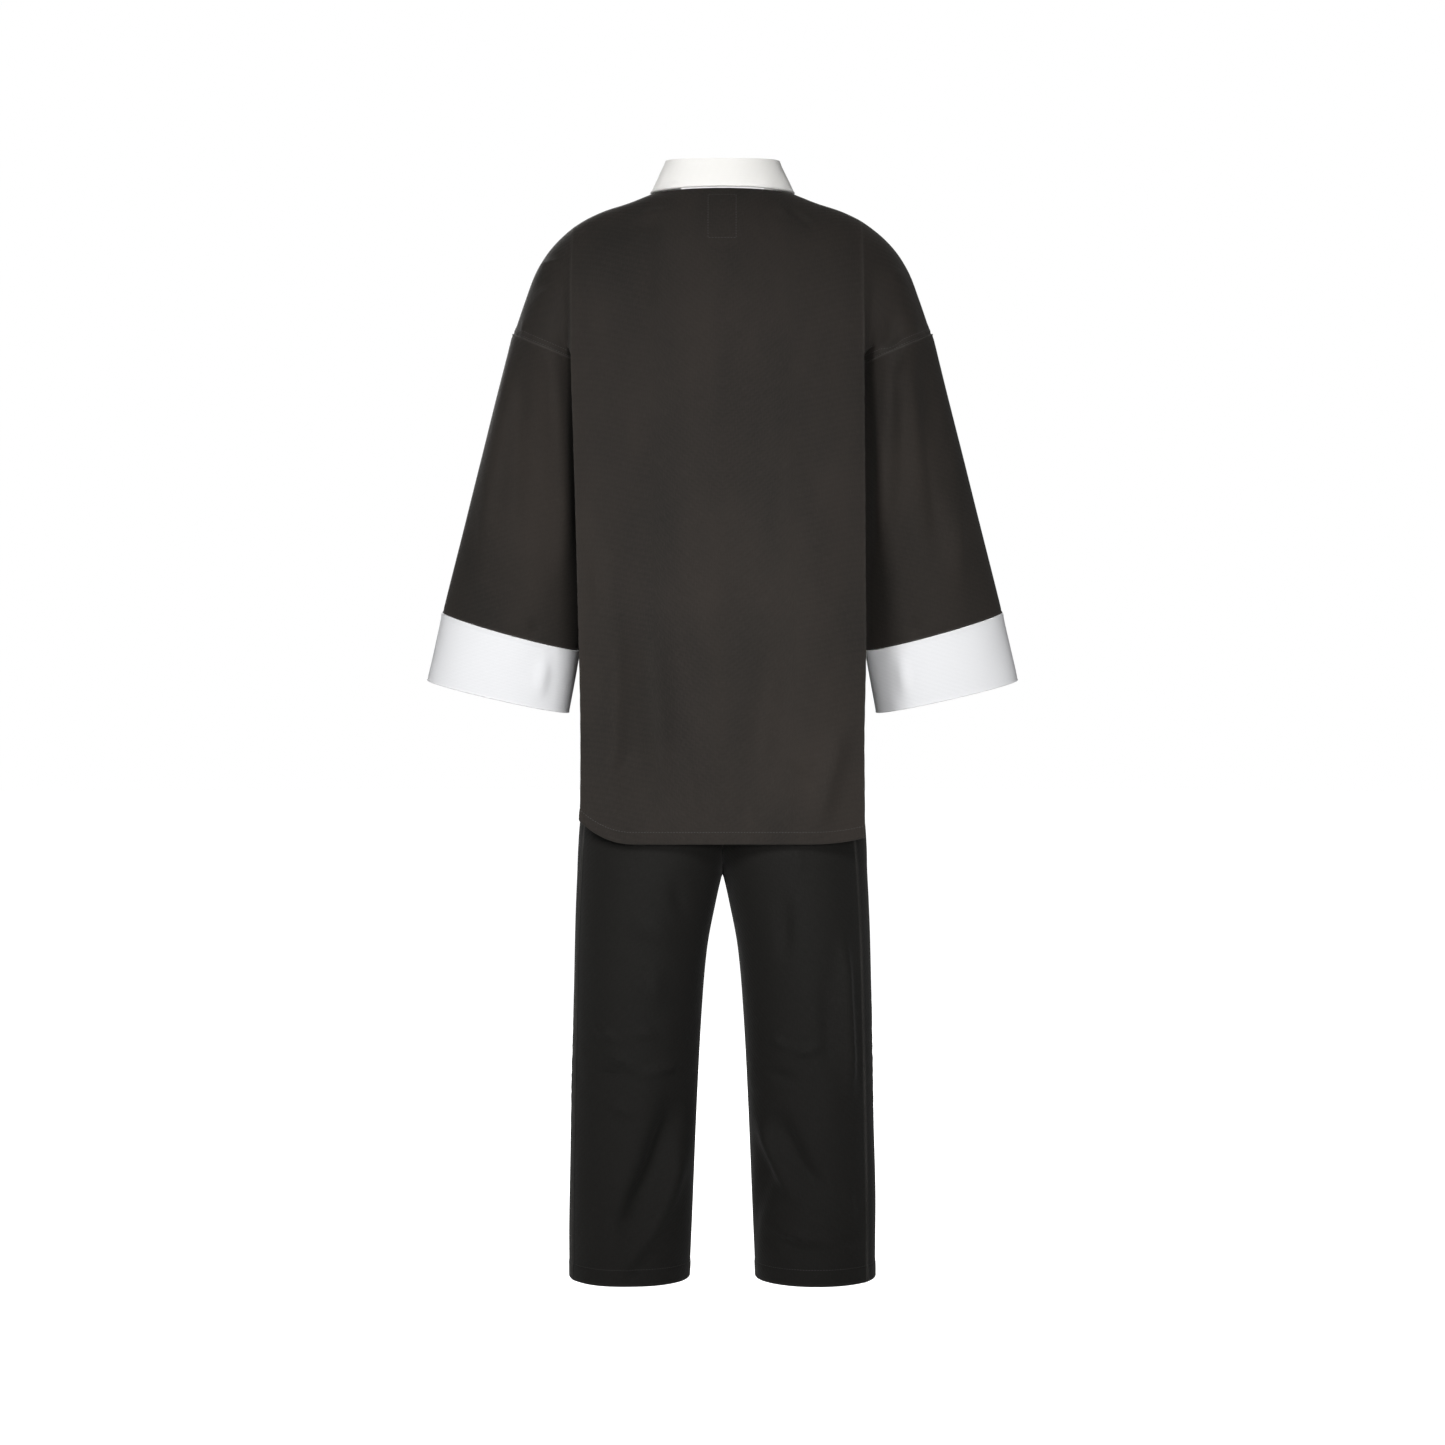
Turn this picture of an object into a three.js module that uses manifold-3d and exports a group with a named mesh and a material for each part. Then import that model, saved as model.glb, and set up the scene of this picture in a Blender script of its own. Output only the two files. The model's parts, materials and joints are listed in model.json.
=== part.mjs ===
// Tai chi uniform: a black jacket with a white stand collar and wide white cuffs, and black trousers.
// It keeps the hollow form of a garment that is worn. Millimetres, +Z up.
// The wearer faces -Y, and the left hand is on the +X side.
// The origin is in the middle of the neck opening, at the foot of the stand collar.

import * as THREE from 'three';
import Module from 'manifold-3d';

const wasm = await Module();
wasm.setup();

// Cloth and seams
const CLOTH = 2;
const TRIM_CLOTH = 2.4;
const CASING = 3;
const SEAM_GAP = 0.3;
const FRONT_GAP = 1.5;

// Jacket heights
const ARMPIT_Z = -198;
const HEM_Z = -770;
const VENT_TOP_Z = -640;
const VENT_HALF_GAP = 50;

// Neck opening and stand collar
const NECK_HALF_WIDTH = 84.4;
const NECK_Z = 5;
const COLLAR_TOP_HALF_WIDTH = 66.2;
const COLLAR_TOP_Z = 44;
const COLLAR_FRONT_GAP = 6;

// Round of the shoulder over its ridge seam, as the power of a superellipse
const SHOULDER_POWER = 2.2;
// How the back and front fall away from their middle toward the crease
const PANEL_CROWN = 2.4;
// How the side is drawn in below the arm
const SIDE_HOLLOW = 1.6;
// How far the shoulder part drops behind the crease, and where that starts and ends on its way out
const CREASE_TUCK = 5;
const TUCK_START = 0.2;
const TUCK_END = 0.3;
// The ridge falls steeply at its end, so the steps across shorten toward it
const RIDGE_STEP_POWER = 1.6;

const LEFT = 1;
const RIGHT = -1;
const BACK = { sign: 1, neckDepth: 54, neckDrop: 0, collarTopDepth: 46, collarTopDrop: 3 };
const FRONT = { sign: -1, neckDepth: 82, neckDrop: 55, collarTopDepth: 70, collarTopDrop: 54 };

// Shoulder ridge, from the collar out and down to the sleeve seam
const RIDGE = [
  { out: 84.4, z: 5 },
  { out: 112, z: -6 },
  { out: 140, z: -15 },
  { out: 162, z: -25 },
  { out: 178, z: -35 },
  { out: 192, z: -46 },
  { out: 208, z: -63 },
  { out: 224, z: -89 },
  { out: 236, z: -121 },
  { out: 250, z: -162.4 },
];

// Where each panel turns from back or front to side, and how deep it lies in the middle and there
const BODY = [
  { z: 10, left: 177, right: 165, back: 104, backEdge: 92, front: 106, frontEdge: 90, side: 152 },
  { z: -120, left: 178, right: 165, back: 104, backEdge: 92, front: 106, frontEdge: 90, side: 152 },
  { z: -198, left: 178, right: 166, back: 104, backEdge: 92, front: 106, frontEdge: 90, side: 152 },
  { z: -300, left: 175, right: 166.5, back: 111, backEdge: 96, front: 112, frontEdge: 94, side: 150 },
  { z: -420, left: 171.5, right: 167.5, back: 114, backEdge: 97, front: 112, frontEdge: 95, side: 151 },
  { z: -540, left: 168, right: 168, back: 113, backEdge: 97, front: 109, frontEdge: 95, side: 154 },
  { z: -660, left: 166, right: 166, back: 114, backEdge: 98, front: 108, frontEdge: 95, side: 162 },
  { z: -780, left: 167, right: 166, back: 117, backEdge: 100, front: 109, frontEdge: 96, side: 163.2 },
];

// The corner of the back hem curls up, more on the left than on the right
const HEM_LIFT = { left: 26, right: 7, from: 0.62, power: 2.2 };

// Rings of the arm: its outer and inner edge, its middle front to back, its half depth and its lean
const ARM = {
  seam: { outX: 250, outZ: -162.4, inX: 162, inZ: -200, y: 0, depth: 80, lean: -7.3 },
  cuff: { outX: 338, outZ: -495, inX: 175, inZ: -540, y: -45, depth: 52, lean: -6 },
  end: { outX: 357.5, outZ: -577.5, inX: 189.4, inZ: -616, y: -56, depth: 50, lean: -4 },
};
// Angle of the arm ring that the foot of the crease leads to
const ARM_CREASE_ANGLE = THREE.MathUtils.degToRad(118);

// Sections of the trousers: the middle of a leg, its half width and its half depth
const LEGS = [
  { z: -455, middle: 0, half: 126, depth: 90 },
  { z: -520, middle: 0, half: 137, depth: 96 },
  { z: -600, middle: 25, half: 120, depth: 99 },
  { z: -680, middle: 52, half: 103, depth: 100 },
  { z: -740, middle: 73, half: 97, depth: 100 },
  { z: -775, middle: 81, half: 92, depth: 101 },
  { z: -809, middle: 87, half: 87, depth: 102 },
  { z: -841, middle: 91.5, half: 84, depth: 101 },
  { z: -900, middle: 98, half: 79.5, depth: 97 },
  { z: -961, middle: 101.5, half: 77.5, depth: 92 },
  { z: -1081, middle: 106, half: 75.5, depth: 84 },
  { z: -1201, middle: 109.5, half: 74, depth: 79 },
  { z: -1292, middle: 111.5, half: 72, depth: 77 },
];
const CROTCH_Z = -809;
const WAIST_SEAM_Z = -455;
const WAIST_TOP_Z = -415;
const WAIST_TOP_HALF_WIDTH = 122;
const WAIST_TOP_DEPTH = 87;
// The outer leg seams lie a little behind the side
const OUTSEAM = { left: THREE.MathUtils.degToRad(22), right: THREE.MathUtils.degToRad(34) };

// Soft folds. Places are fractions along each part, and a depth below zero is a trough.
// They fade out toward the seams, over these fractions.
const FOLD_FADE = { yokeStart: 0.6, yokeEnd: 1.2, sleeve: 0.1, leg: 0.15 };
const BACK_FOLDS = [
  { across: 0.52, down: 1.75, width: 0.2, length: 0.55, depth: 4 },
  { across: -0.1, down: 1.7, width: 0.16, length: 0.6, depth: -4 },
  { across: -0.62, down: 1.55, width: 0.2, length: 0.7, depth: 3.5 },
  { across: 0.8, down: 1.3, width: 0.16, length: 0.5, depth: -3 },
];
const SLEEVE_FOLDS = [
  { hand: LEFT, round: 0.12, along: 0.25, width: 0.05, length: 0.4, depth: 5 },
  { hand: LEFT, round: 0.24, along: 0.4, width: 0.06, length: 0.5, depth: -5 },
  { hand: RIGHT, round: 0.27, along: 0.12, width: 0.045, length: 0.35, depth: -6 },
  { hand: RIGHT, round: 0.13, along: 0.45, width: 0.05, length: 0.6, depth: -5 },
  { hand: LEFT, round: 0.74, along: 0.4, width: 0.06, length: 0.5, depth: -5 },
  { hand: RIGHT, round: 0.76, along: 0.45, width: 0.06, length: 0.5, depth: -5 },
];
const LEG_FOLDS = [
  { hand: LEFT, face: BACK, round: 0.6, z: -1170, width: 0.13, length: 110, depth: -7, turn: 0.0012 },
  { hand: LEFT, face: BACK, round: 0.36, z: -1200, width: 0.12, length: 80, depth: 5, turn: 0.0012 },
  { hand: RIGHT, face: BACK, round: 0.72, z: -1165, width: 0.1, length: 60, depth: -5, turn: -0.003 },
  { hand: RIGHT, face: BACK, round: 0.28, z: -1020, width: 0.1, length: 90, depth: 5, turn: 0 },
  { hand: LEFT, face: FRONT, round: 0.5, z: -1120, width: 0.12, length: 120, depth: -6, turn: 0.001 },
  { hand: RIGHT, face: FRONT, round: 0.5, z: -1120, width: 0.12, length: 120, depth: -6, turn: 0.001 },
];

// Knotted closures down the middle of the front
const FROG = {
  count: 7,
  gap: 0.9,
  topZ: -66,
  step: 86,
  reach: 60,
  root: 12,
  width: 9,
  thick: 2.6,
  knotRadius: 6,
  knotSeat: 4.8,
  loopRadius: 8.2,
  cordRadius: 1.4,
};

// How finely the surfaces are stepped
const NECK_COLUMNS = 4;
const SHOULDER_COLUMNS = 4;
const UPPER_ROWS = 7;
const LOWER_ROWS = 11;
const SIDE_COLUMNS = 4;
const ARM_COLUMNS = 5;
const SLEEVE_ROWS = 9;
const CUFF_ROWS = 2;
const COLLAR_COLUMNS = 28;
const COLLAR_ROWS = 3;
const LEG_STEP = 66;
const LEG_COLUMNS = 8;
const WAIST_COLUMNS = 28;
const FROG_STEPS = 3;
const CORD_SIDES = 6;
const LOOP_SIDES = 4;
const LOOP_STEPS = 12;
const MERGE_DISTANCE = 0.001;
const ARM_ROUND = UPPER_ROWS + SIDE_COLUMNS;
const ARM_CREASE_SHARE = UPPER_ROWS / ARM_ROUND;

const vec = (x, y, z) => new THREE.Vector3(x, y, z);
const { lerp, clamp, smoothstep } = THREE.MathUtils;
const mix = (a, b, t) => a.clone().lerp(b, t);
const side = (row, hand) => (hand === LEFT ? row.left : row.right);

// A smooth curve through two columns of a table that never overshoots its rows.
function through(table, key, column) {
  const rows = [...table].sort((a, b) => a[key] - b[key]);
  const chord = (i) => (rows[i + 1][column] - rows[i][column]) / (rows[i + 1][key] - rows[i][key]);
  const slope = rows.map((row, i) => {
    if (i === 0) return chord(0);
    if (i === rows.length - 1) return chord(i - 1);
    const before = chord(i - 1);
    const after = chord(i);
    return before * after <= 0 ? 0 : (2 * before * after) / (before + after);
  });
  return (value) => {
    const at = clamp(value, rows[0][key], rows[rows.length - 1][key]);
    const i = clamp(rows.findIndex((row) => row[key] >= at) - 1, 0, rows.length - 2);
    const span = rows[i + 1][key] - rows[i][key];
    const t = (at - rows[i][key]) / span;
    const start = rows[i][column] * (1 + 2 * t) * (1 - t) ** 2 + slope[i] * span * t * (1 - t) ** 2;
    return start + rows[i + 1][column] * t * t * (3 - 2 * t) + slope[i + 1] * span * t * t * (t - 1);
  };
}

const ridgeZ = through(RIDGE, 'out', 'z');
const creaseX = { [LEFT]: through(BODY, 'z', 'left'), [RIGHT]: through(BODY, 'z', 'right') };
const sideX = through(BODY, 'z', 'side');
BACK.middle = through(BODY, 'z', 'back');
BACK.edge = through(BODY, 'z', 'backEdge');
FRONT.middle = through(BODY, 'z', 'front');
FRONT.edge = through(BODY, 'z', 'frontEdge');
const legMiddle = through(LEGS, 'z', 'middle');
const legHalf = through(LEGS, 'z', 'half');
const legDepth = through(LEGS, 'z', 'depth');

const bump = (offset, reach) => Math.exp(-((offset / reach) ** 2));

// Depth of a panel from the middle plane, at a share of the way from its middle to its crease.
function panelDepth(face, share, z) {
  return face.middle(z) + (face.edge(z) - face.middle(z)) * share ** PANEL_CROWN;
}

// Height of the hem, with the curl of the back corners.
function hemZ(face, hand, share) {
  if (face === FRONT) return HEM_Z;
  const curl = clamp((share - HEM_LIFT.from) / (1 - HEM_LIFT.from), 0, 1) ** HEM_LIFT.power;
  return HEM_Z + side(HEM_LIFT, hand) * curl;
}

// Top of a column of the panel: on the neckline, or out along the shoulder ridge.
function columnTop(face, hand, share) {
  const crease = creaseX[hand](0);
  if (share >= 0.5) {
    const out = lerp(NECK_HALF_WIDTH, crease, 2 * share - 1);
    return { out, angle: 0, peak: ridgeZ(out), crease };
  }
  const turn = Math.PI * share;
  const out = NECK_HALF_WIDTH * Math.sin(turn);
  const depth = face.neckDepth * Math.cos(turn);
  const z = NECK_Z - face.neckDrop * Math.cos(turn) ** 2;
  const angle = Math.asin((depth / panelDepth(face, out / crease, ARMPIT_Z)) ** (SHOULDER_POWER / 2));
  const peak = ARMPIT_Z + (z - ARMPIT_Z) / Math.cos(angle) ** (2 / SHOULDER_POWER);
  return { out, angle, peak, crease };
}

function backFold(face, hand, share, down) {
  if (face === FRONT) return 0;
  return BACK_FOLDS.reduce((sum, fold) => {
    const across = bump(hand * share - fold.across, fold.width);
    return sum + fold.depth * across * bump(down - fold.down, fold.length);
  }, 0);
}

// Body of the jacket from its middle (share 0) to its crease (share 1).
// Down runs from 0 at the neck and shoulder to 1 at the armpit and 2 at the hem.
function torso(face, hand, share, down) {
  const top = columnTop(face, hand, share);
  const power = 2 / SHOULDER_POWER;
  const ratio = top.out / top.crease;
  const gap = share === 0 && face === FRONT ? FRONT_GAP / 2 : 0;
  const fold = backFold(face, hand, ratio, down) * smoothstep(down, FOLD_FADE.yokeStart, FOLD_FADE.yokeEnd);
  if (down > 1) {
    const z = lerp(ARMPIT_Z, hemZ(face, hand, ratio), down - 1);
    const x = ratio * creaseX[hand](z);
    return vec(hand * Math.max(x, gap), face.sign * (panelDepth(face, ratio, z) + fold), z);
  }
  const angle = lerp(top.angle, Math.PI / 2, down);
  const depth = panelDepth(face, ratio, ARMPIT_Z) * Math.sin(angle) ** power + fold;
  const z = ARMPIT_Z + (top.peak - ARMPIT_Z) * Math.max(Math.cos(angle), 0) ** power;
  const x = ratio * creaseX[hand](lerp(0, ARMPIT_Z, down));
  return vec(hand * Math.max(x, gap), face.sign * Math.max(depth, SEAM_GAP / 2), z);
}

// Side of the jacket from its crease (across 0) to the side seam (across 1), below the arm.
function flank(face, hand, across, down) {
  const crease = torso(face, hand, 1, down);
  const vent = VENT_HALF_GAP * smoothstep(-crease.z, -VENT_TOP_Z, -HEM_Z);
  const seam = face.sign * (SEAM_GAP / 2 + vent);
  const out = (1 - across) ** SIDE_HOLLOW;
  return vec(hand * lerp(sideX(crease.z), hand * crease.x, out), lerp(crease.y, seam, across), crease.z);
}

// A ring of the arm, with its outward edge at angle 0 and its back at a quarter turn.
function armRing(hand, from, to, share) {
  const pick = (name) => lerp(from[name], to[name], share);
  const outer = vec(hand * pick('outX'), pick('y'), pick('outZ'));
  const inner = vec(hand * pick('inX'), pick('y'), pick('inZ'));
  const centre = mix(outer, inner, 0.5);
  const reach = outer.sub(centre);
  const depth = vec(0, pick('depth'), pick('lean'));
  const normal = reach.clone().cross(depth).normalize();
  if (normal.z > 0) normal.negate();
  return { centre, reach, depth, normal };
}

function onRing(ring, angle) {
  const at = ring.centre.clone().addScaledVector(ring.reach, Math.cos(angle));
  return at.addScaledVector(ring.depth, Math.sin(angle));
}

const seamRing = (hand) => armRing(hand, ARM.seam, ARM.seam, 0);

// Angle on the arm ring for a share of the way from the ridge round to the underarm.
function armAngle(round) {
  if (round <= ARM_CREASE_SHARE) return (ARM_CREASE_ANGLE * round) / ARM_CREASE_SHARE;
  return lerp(ARM_CREASE_ANGLE, Math.PI, (round - ARM_CREASE_SHARE) / (1 - ARM_CREASE_SHARE));
}

// Shoulder part of a panel, out from the crease (out 0) to the sleeve seam (out 1).
// Round runs from 0 on the ridge to 1 at the underarm. It is a patch between its four borders.
function shoulder(face, hand, out, round) {
  const ring = seamRing(hand);
  const lift = SEAM_GAP / 2;
  const settle = (p) => p.setY(face.sign * Math.max(face.sign * p.y, lift));
  const seam = (r) => settle(onRing(ring, face.sign * armAngle(r)).addScaledVector(ring.normal, -lift));
  const crease = (r) => {
    if (r <= ARM_CREASE_SHARE) return torso(face, hand, 1, r / ARM_CREASE_SHARE);
    return flank(face, hand, (r - ARM_CREASE_SHARE) / (1 - ARM_CREASE_SHARE), 1);
  };
  const ends = { start: crease(0), outer: seam(0), under: crease(1), inner: seam(1) };
  const step = 1 - (1 - out) ** RIDGE_STEP_POWER;
  const ridge = mix(ends.start, ends.outer, step);
  if (out < 1) ridge.setZ(ridgeZ(Math.abs(ridge.x)));
  const underarm = mix(ends.under, ends.inner, step);
  const across = mix(crease(round), seam(round), step);
  const down = mix(ridge, underarm, round);
  const corners = mix(mix(ends.start, ends.outer, step), underarm, round);
  const ramp = smoothstep(out, 0, TUCK_START) * (1 - smoothstep(out, TUCK_END, 1));
  const tuck = CREASE_TUCK * Math.sin(Math.PI * round) * ramp;
  const at = across.add(down).sub(corners);
  return settle(at.setY(at.y - face.sign * tuck));
}

function sleeveFold(hand, round, along) {
  return SLEEVE_FOLDS.filter((fold) => fold.hand === hand).reduce((sum, fold) => {
    return sum + fold.depth * bump(round - fold.round, fold.width) * bump(along - fold.along, fold.length);
  }, 0);
}

// Sleeve or cuff, round from its outer edge by the back, and along from its top ring to its last.
function sleeve(hand, from, to, round, along) {
  const ring = armRing(hand, from, to, along);
  const half = round <= 0.5 ? armAngle(2 * round) : 2 * Math.PI - armAngle(2 - 2 * round);
  const at = onRing(ring, half);
  if (from !== ARM.seam) return at;
  const out = at.clone().sub(ring.centre).normalize();
  return at.addScaledVector(out, sleeveFold(hand, round, along) * smoothstep(along, 0, FOLD_FADE.sleeve));
}

// Stand collar round from the right end of the front by the back to the left end.
function collar(round, up) {
  const open = COLLAR_FRONT_GAP / 2 / NECK_HALF_WIDTH;
  const angle = lerp(-Math.PI / 2 + open, 1.5 * Math.PI - open, round);
  const face = Math.sin(angle) >= 0 ? BACK : FRONT;
  const share = Math.sin(angle) ** 2;
  const foot = vec(
    -NECK_HALF_WIDTH * Math.cos(angle),
    face.neckDepth * Math.sin(angle),
    NECK_Z + SEAM_GAP - face.neckDrop * share,
  );
  const rim = vec(
    -COLLAR_TOP_HALF_WIDTH * Math.cos(angle),
    face.collarTopDepth * Math.sin(angle),
    COLLAR_TOP_Z - face.collarTopDrop * share,
  );
  return mix(foot, rim, up);
}

function legFold(face, hand, round, z) {
  return LEG_FOLDS.filter((fold) => fold.hand === hand && fold.face === face).reduce((sum, fold) => {
    const centre = fold.round + fold.turn * (z - fold.z);
    return sum + fold.depth * bump(round - centre, fold.width) * bump(z - fold.z, fold.length);
  }, 0);
}

// Half of a trouser leg, round from the outer seam to the inner seam, or to the middle above the crotch.
function leg(face, hand, round, z) {
  const middle = legMiddle(z);
  const half = legHalf(z);
  const last = z >= CROTCH_Z ? Math.acos(clamp(-middle / half, -1, 1)) : Math.PI;
  const first = side(OUTSEAM, hand);
  const slack = (SEAM_GAP / 2 / legDepth(z)) * face.sign;
  const angle = lerp(first + slack, face.sign * last, round);
  const at = vec(middle + half * Math.cos(angle), legDepth(z) * Math.sin(angle), z);
  const out = vec(Math.cos(angle), Math.sin(angle), 0);
  const ease = smoothstep(round, 0, FOLD_FADE.leg) * (1 - smoothstep(round, 1 - FOLD_FADE.leg, 1));
  at.addScaledVector(out, legFold(face, hand, round, z) * ease);
  if (round === 1 && z >= CROTCH_Z) at.setX(SEAM_GAP / 2);
  if (round === 1 && z <= CROTCH_Z) at.setY((face.sign * SEAM_GAP) / 2);
  return at.setX(hand * at.x);
}

// Direction across the outer leg seam at one height, the same for both panels.
function outseamAcross(hand, z) {
  const angle = side(OUTSEAM, hand);
  return vec(-hand * legHalf(z) * Math.sin(angle), legDepth(z) * Math.cos(angle), 0).normalize();
}

// A sheet of points and faces. Its grids share the points where their borders meet.
class Sheet {
  points = [];
  faces = [];
  locks = [];

  add(at, locks) {
    let id = this.points.findIndex((point) => point.distanceTo(at) < MERGE_DISTANCE);
    if (id < 0) {
      id = this.points.push(at) - 1;
      this.locks.push([]);
    }
    this.locks[id].push(...locks);
    return id;
  }

  // Place gives the point for a row and a column. Lock gives directions its thickness may not lean in.
  grid(rows, columns, place, flip, lock = () => []) {
    const ids = [];
    for (let r = 0; r <= rows; r += 1) {
      ids.push([]);
      for (let c = 0; c <= columns; c += 1) ids[r].push(this.add(place(r, c), lock(r, c)));
    }
    for (let r = 0; r < rows; r += 1) {
      for (let c = 0; c < columns; c += 1) {
        const face = [ids[r][c], ids[r + 1][c], ids[r + 1][c + 1], ids[r][c + 1]];
        this.faces.push(flip ? face.reverse() : face);
      }
    }
  }

  triangles() {
    return this.faces.flatMap(([a, b, c, d]) => [[a, b, c], [a, c, d]]).filter(([a, b, c]) => {
      return a !== b && b !== c && c !== a;
    });
  }

  // Outward direction at each point, kept square to the locked directions.
  normals(triangles) {
    const normals = this.points.map(() => vec(0, 0, 0));
    triangles.forEach((corners) => {
      const [a, b, c] = corners.map((id) => this.points[id]);
      const face = b.clone().sub(a).cross(c.clone().sub(a));
      corners.forEach((id) => normals[id].add(face));
    });
    normals.forEach((normal, id) => {
      this.locks[id].forEach((lock) => normal.addScaledVector(lock, -normal.dot(lock)));
      normal.normalize();
    });
    return normals;
  }

  // Closed cloth wall whose outer face is the sheet, with its inner face one thickness below it.
  wall(thickness) {
    const outer = this.triangles();
    const outward = this.normals(outer);
    const count = this.points.length;
    const below = this.points.map((p, id) => p.clone().addScaledVector(outward[id], -thickness));
    const points = [...this.points, ...below].flatMap((p) => p.toArray());
    const inner = outer.map(([a, b, c]) => [a + count, c + count, b + count]);
    const open = new Map();
    outer.forEach(([a, b, c]) => {
      [[a, b], [b, c], [c, a]].forEach(([from, to]) => {
        if (!open.delete(`${to} ${from}`)) open.set(`${from} ${to}`, [from, to]);
      });
    });
    const rim = [...open.values()].flatMap(([a, b]) => [[a, a + count, b], [b, a + count, b + count]]);
    const geometry = new THREE.BufferGeometry();
    geometry.setAttribute('position', new THREE.Float32BufferAttribute(points, 3));
    geometry.setIndex([...outer, ...inner, ...rim].flat());
    return geometry;
  }
}

const AXIS_X = vec(1, 0, 0);
const AXIS_Y = vec(0, 1, 0);

// Adds one hand's half of a jacket panel: its body, its side and its shoulder part.
function addHalf(sheet, face, hand) {
  const columns = NECK_COLUMNS + SHOULDER_COLUMNS;
  const beyond = (c) => Math.max(c - NECK_COLUMNS, 0) / SHOULDER_COLUMNS;
  const share = (c) => (Math.min(c / NECK_COLUMNS, 1) + beyond(c)) / 2;
  const down = (r) => (r <= UPPER_ROWS ? r / UPPER_ROWS : 1 + (r - UPPER_ROWS) / LOWER_ROWS);
  const flip = face.sign * hand > 0;
  const rows = UPPER_ROWS + LOWER_ROWS;
  const body = (r, c) => torso(face, hand, share(c), down(r));
  const bodyLock = (r, c) => {
    if (r === 0 && c >= NECK_COLUMNS) return [AXIS_Y];
    return c === 0 && face === FRONT ? [AXIS_X] : [];
  };
  sheet.grid(rows, columns, body, flip, bodyLock);
  const flankAt = (r, c) => flank(face, hand, c / SIDE_COLUMNS, 1 + r / LOWER_ROWS);
  const flankLock = (r, c) => (c === SIDE_COLUMNS && flankAt(r, c).z > VENT_TOP_Z ? [AXIS_Y] : []);
  sheet.grid(LOWER_ROWS, SIDE_COLUMNS, flankAt, flip, flankLock);
  const shoulderAt = (r, c) => shoulder(face, hand, c / ARM_COLUMNS, r / ARM_ROUND);
  const shoulderLock = (r, c) => {
    const seam = c === ARM_COLUMNS ? [seamRing(hand).normal] : [];
    return r === 0 || r === ARM_ROUND ? [AXIS_Y, ...seam] : seam;
  };
  sheet.grid(ARM_ROUND, ARM_COLUMNS, shoulderAt, flip, shoulderLock);
}

function jacketBack() {
  const sheet = new Sheet();
  addHalf(sheet, BACK, LEFT);
  addHalf(sheet, BACK, RIGHT);
  return sheet.wall(CLOTH);
}

function jacketFront(hand) {
  const sheet = new Sheet();
  addHalf(sheet, FRONT, hand);
  return sheet.wall(CLOTH);
}

// A tube of the arm between two of its rings, parted from its neighbours by the seam gap.
function armTube(hand, from, to, rows, thickness, openEnd) {
  const sheet = new Sheet();
  const ends = [armRing(hand, from, to, 0).normal, armRing(hand, from, to, 1).normal];
  const columns = 2 * ARM_ROUND;
  const place = (r, c) => {
    const at = sleeve(hand, from, to, (c % columns) / columns, r / rows);
    if (r === 0) at.addScaledVector(ends[0], SEAM_GAP / 2);
    if (r === rows && !openEnd) at.addScaledVector(ends[1], -SEAM_GAP / 2);
    return at;
  };
  const lock = (r) => {
    if (r === 0) return [ends[0]];
    return r === rows ? [ends[1]] : [];
  };
  sheet.grid(rows, columns, place, hand > 0, lock);
  return sheet.wall(thickness);
}

function collarBand() {
  const sheet = new Sheet();
  const place = (r, c) => collar(c / COLLAR_COLUMNS, r / COLLAR_ROWS);
  sheet.grid(COLLAR_ROWS, COLLAR_COLUMNS, place, true);
  return sheet.wall(TRIM_CLOTH);
}

// Heights of the trouser rows: each section, with the longer gaps between them shared out.
function legHeights() {
  return LEGS.flatMap(({ z }, i) => {
    if (i === 0) return [z];
    const before = LEGS[i - 1].z;
    const steps = Math.ceil((before - z) / LEG_STEP);
    return Array.from({ length: steps }, (_, step) => lerp(before, z, (step + 1) / steps));
  });
}

function trouserPanel(face, hand) {
  const sheet = new Sheet();
  const heights = legHeights();
  const place = (r, c) => leg(face, hand, c / LEG_COLUMNS, heights[r]);
  const lock = (r, c) => {
    const z = heights[r];
    const locks = [];
    if (c === 0) locks.push(outseamAcross(hand, z));
    if (c === LEG_COLUMNS && z >= CROTCH_Z) locks.push(AXIS_X);
    if (c === LEG_COLUMNS && z <= CROTCH_Z) locks.push(AXIS_Y);
    if (r === 0) locks.push(vec(0, 0, 1));
    return locks;
  };
  sheet.grid(heights.length - 1, LEG_COLUMNS, place, face.sign * hand < 0, lock);
  return sheet.wall(CLOTH);
}

function waistband() {
  const sheet = new Sheet();
  const place = (r, c) => {
    const angle = (2 * Math.PI * (c % WAIST_COLUMNS)) / WAIST_COLUMNS;
    const half = r === 0 ? WAIST_TOP_HALF_WIDTH : legHalf(WAIST_SEAM_Z);
    const depth = r === 0 ? WAIST_TOP_DEPTH : legDepth(WAIST_SEAM_Z);
    const z = r === 0 ? WAIST_TOP_Z : WAIST_SEAM_Z + SEAM_GAP;
    return vec(half * Math.cos(angle), depth * Math.sin(angle), z);
  };
  sheet.grid(1, WAIST_COLUMNS, place, false, (r) => (r === 1 ? [vec(0, 0, 1)] : []));
  return sheet.wall(CASING);
}

// Outer face of the front panel at a place across and a height.
function frontAt(x, z) {
  const crease = creaseX[LEFT](0);
  const ratio = Math.abs(x) / crease;
  if (z <= ARMPIT_Z) return vec(x, -panelDepth(FRONT, ratio, z), z);
  const share = Math.asin(clamp(Math.abs(x) / NECK_HALF_WIDTH, 0, 1)) / Math.PI;
  const rise = (z - ARMPIT_Z) / (columnTop(FRONT, LEFT, share).peak - ARMPIT_Z);
  const depth = panelDepth(FRONT, ratio, ARMPIT_Z) * (1 - rise ** SHOULDER_POWER) ** (1 / SHOULDER_POWER);
  return vec(x, -depth, z);
}

// Direction out of the front panel at its middle.
function frontOut(z) {
  const rise = frontAt(0, z + 1).sub(frontAt(0, z - 1));
  return AXIS_X.clone().cross(rise).normalize();
}

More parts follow.
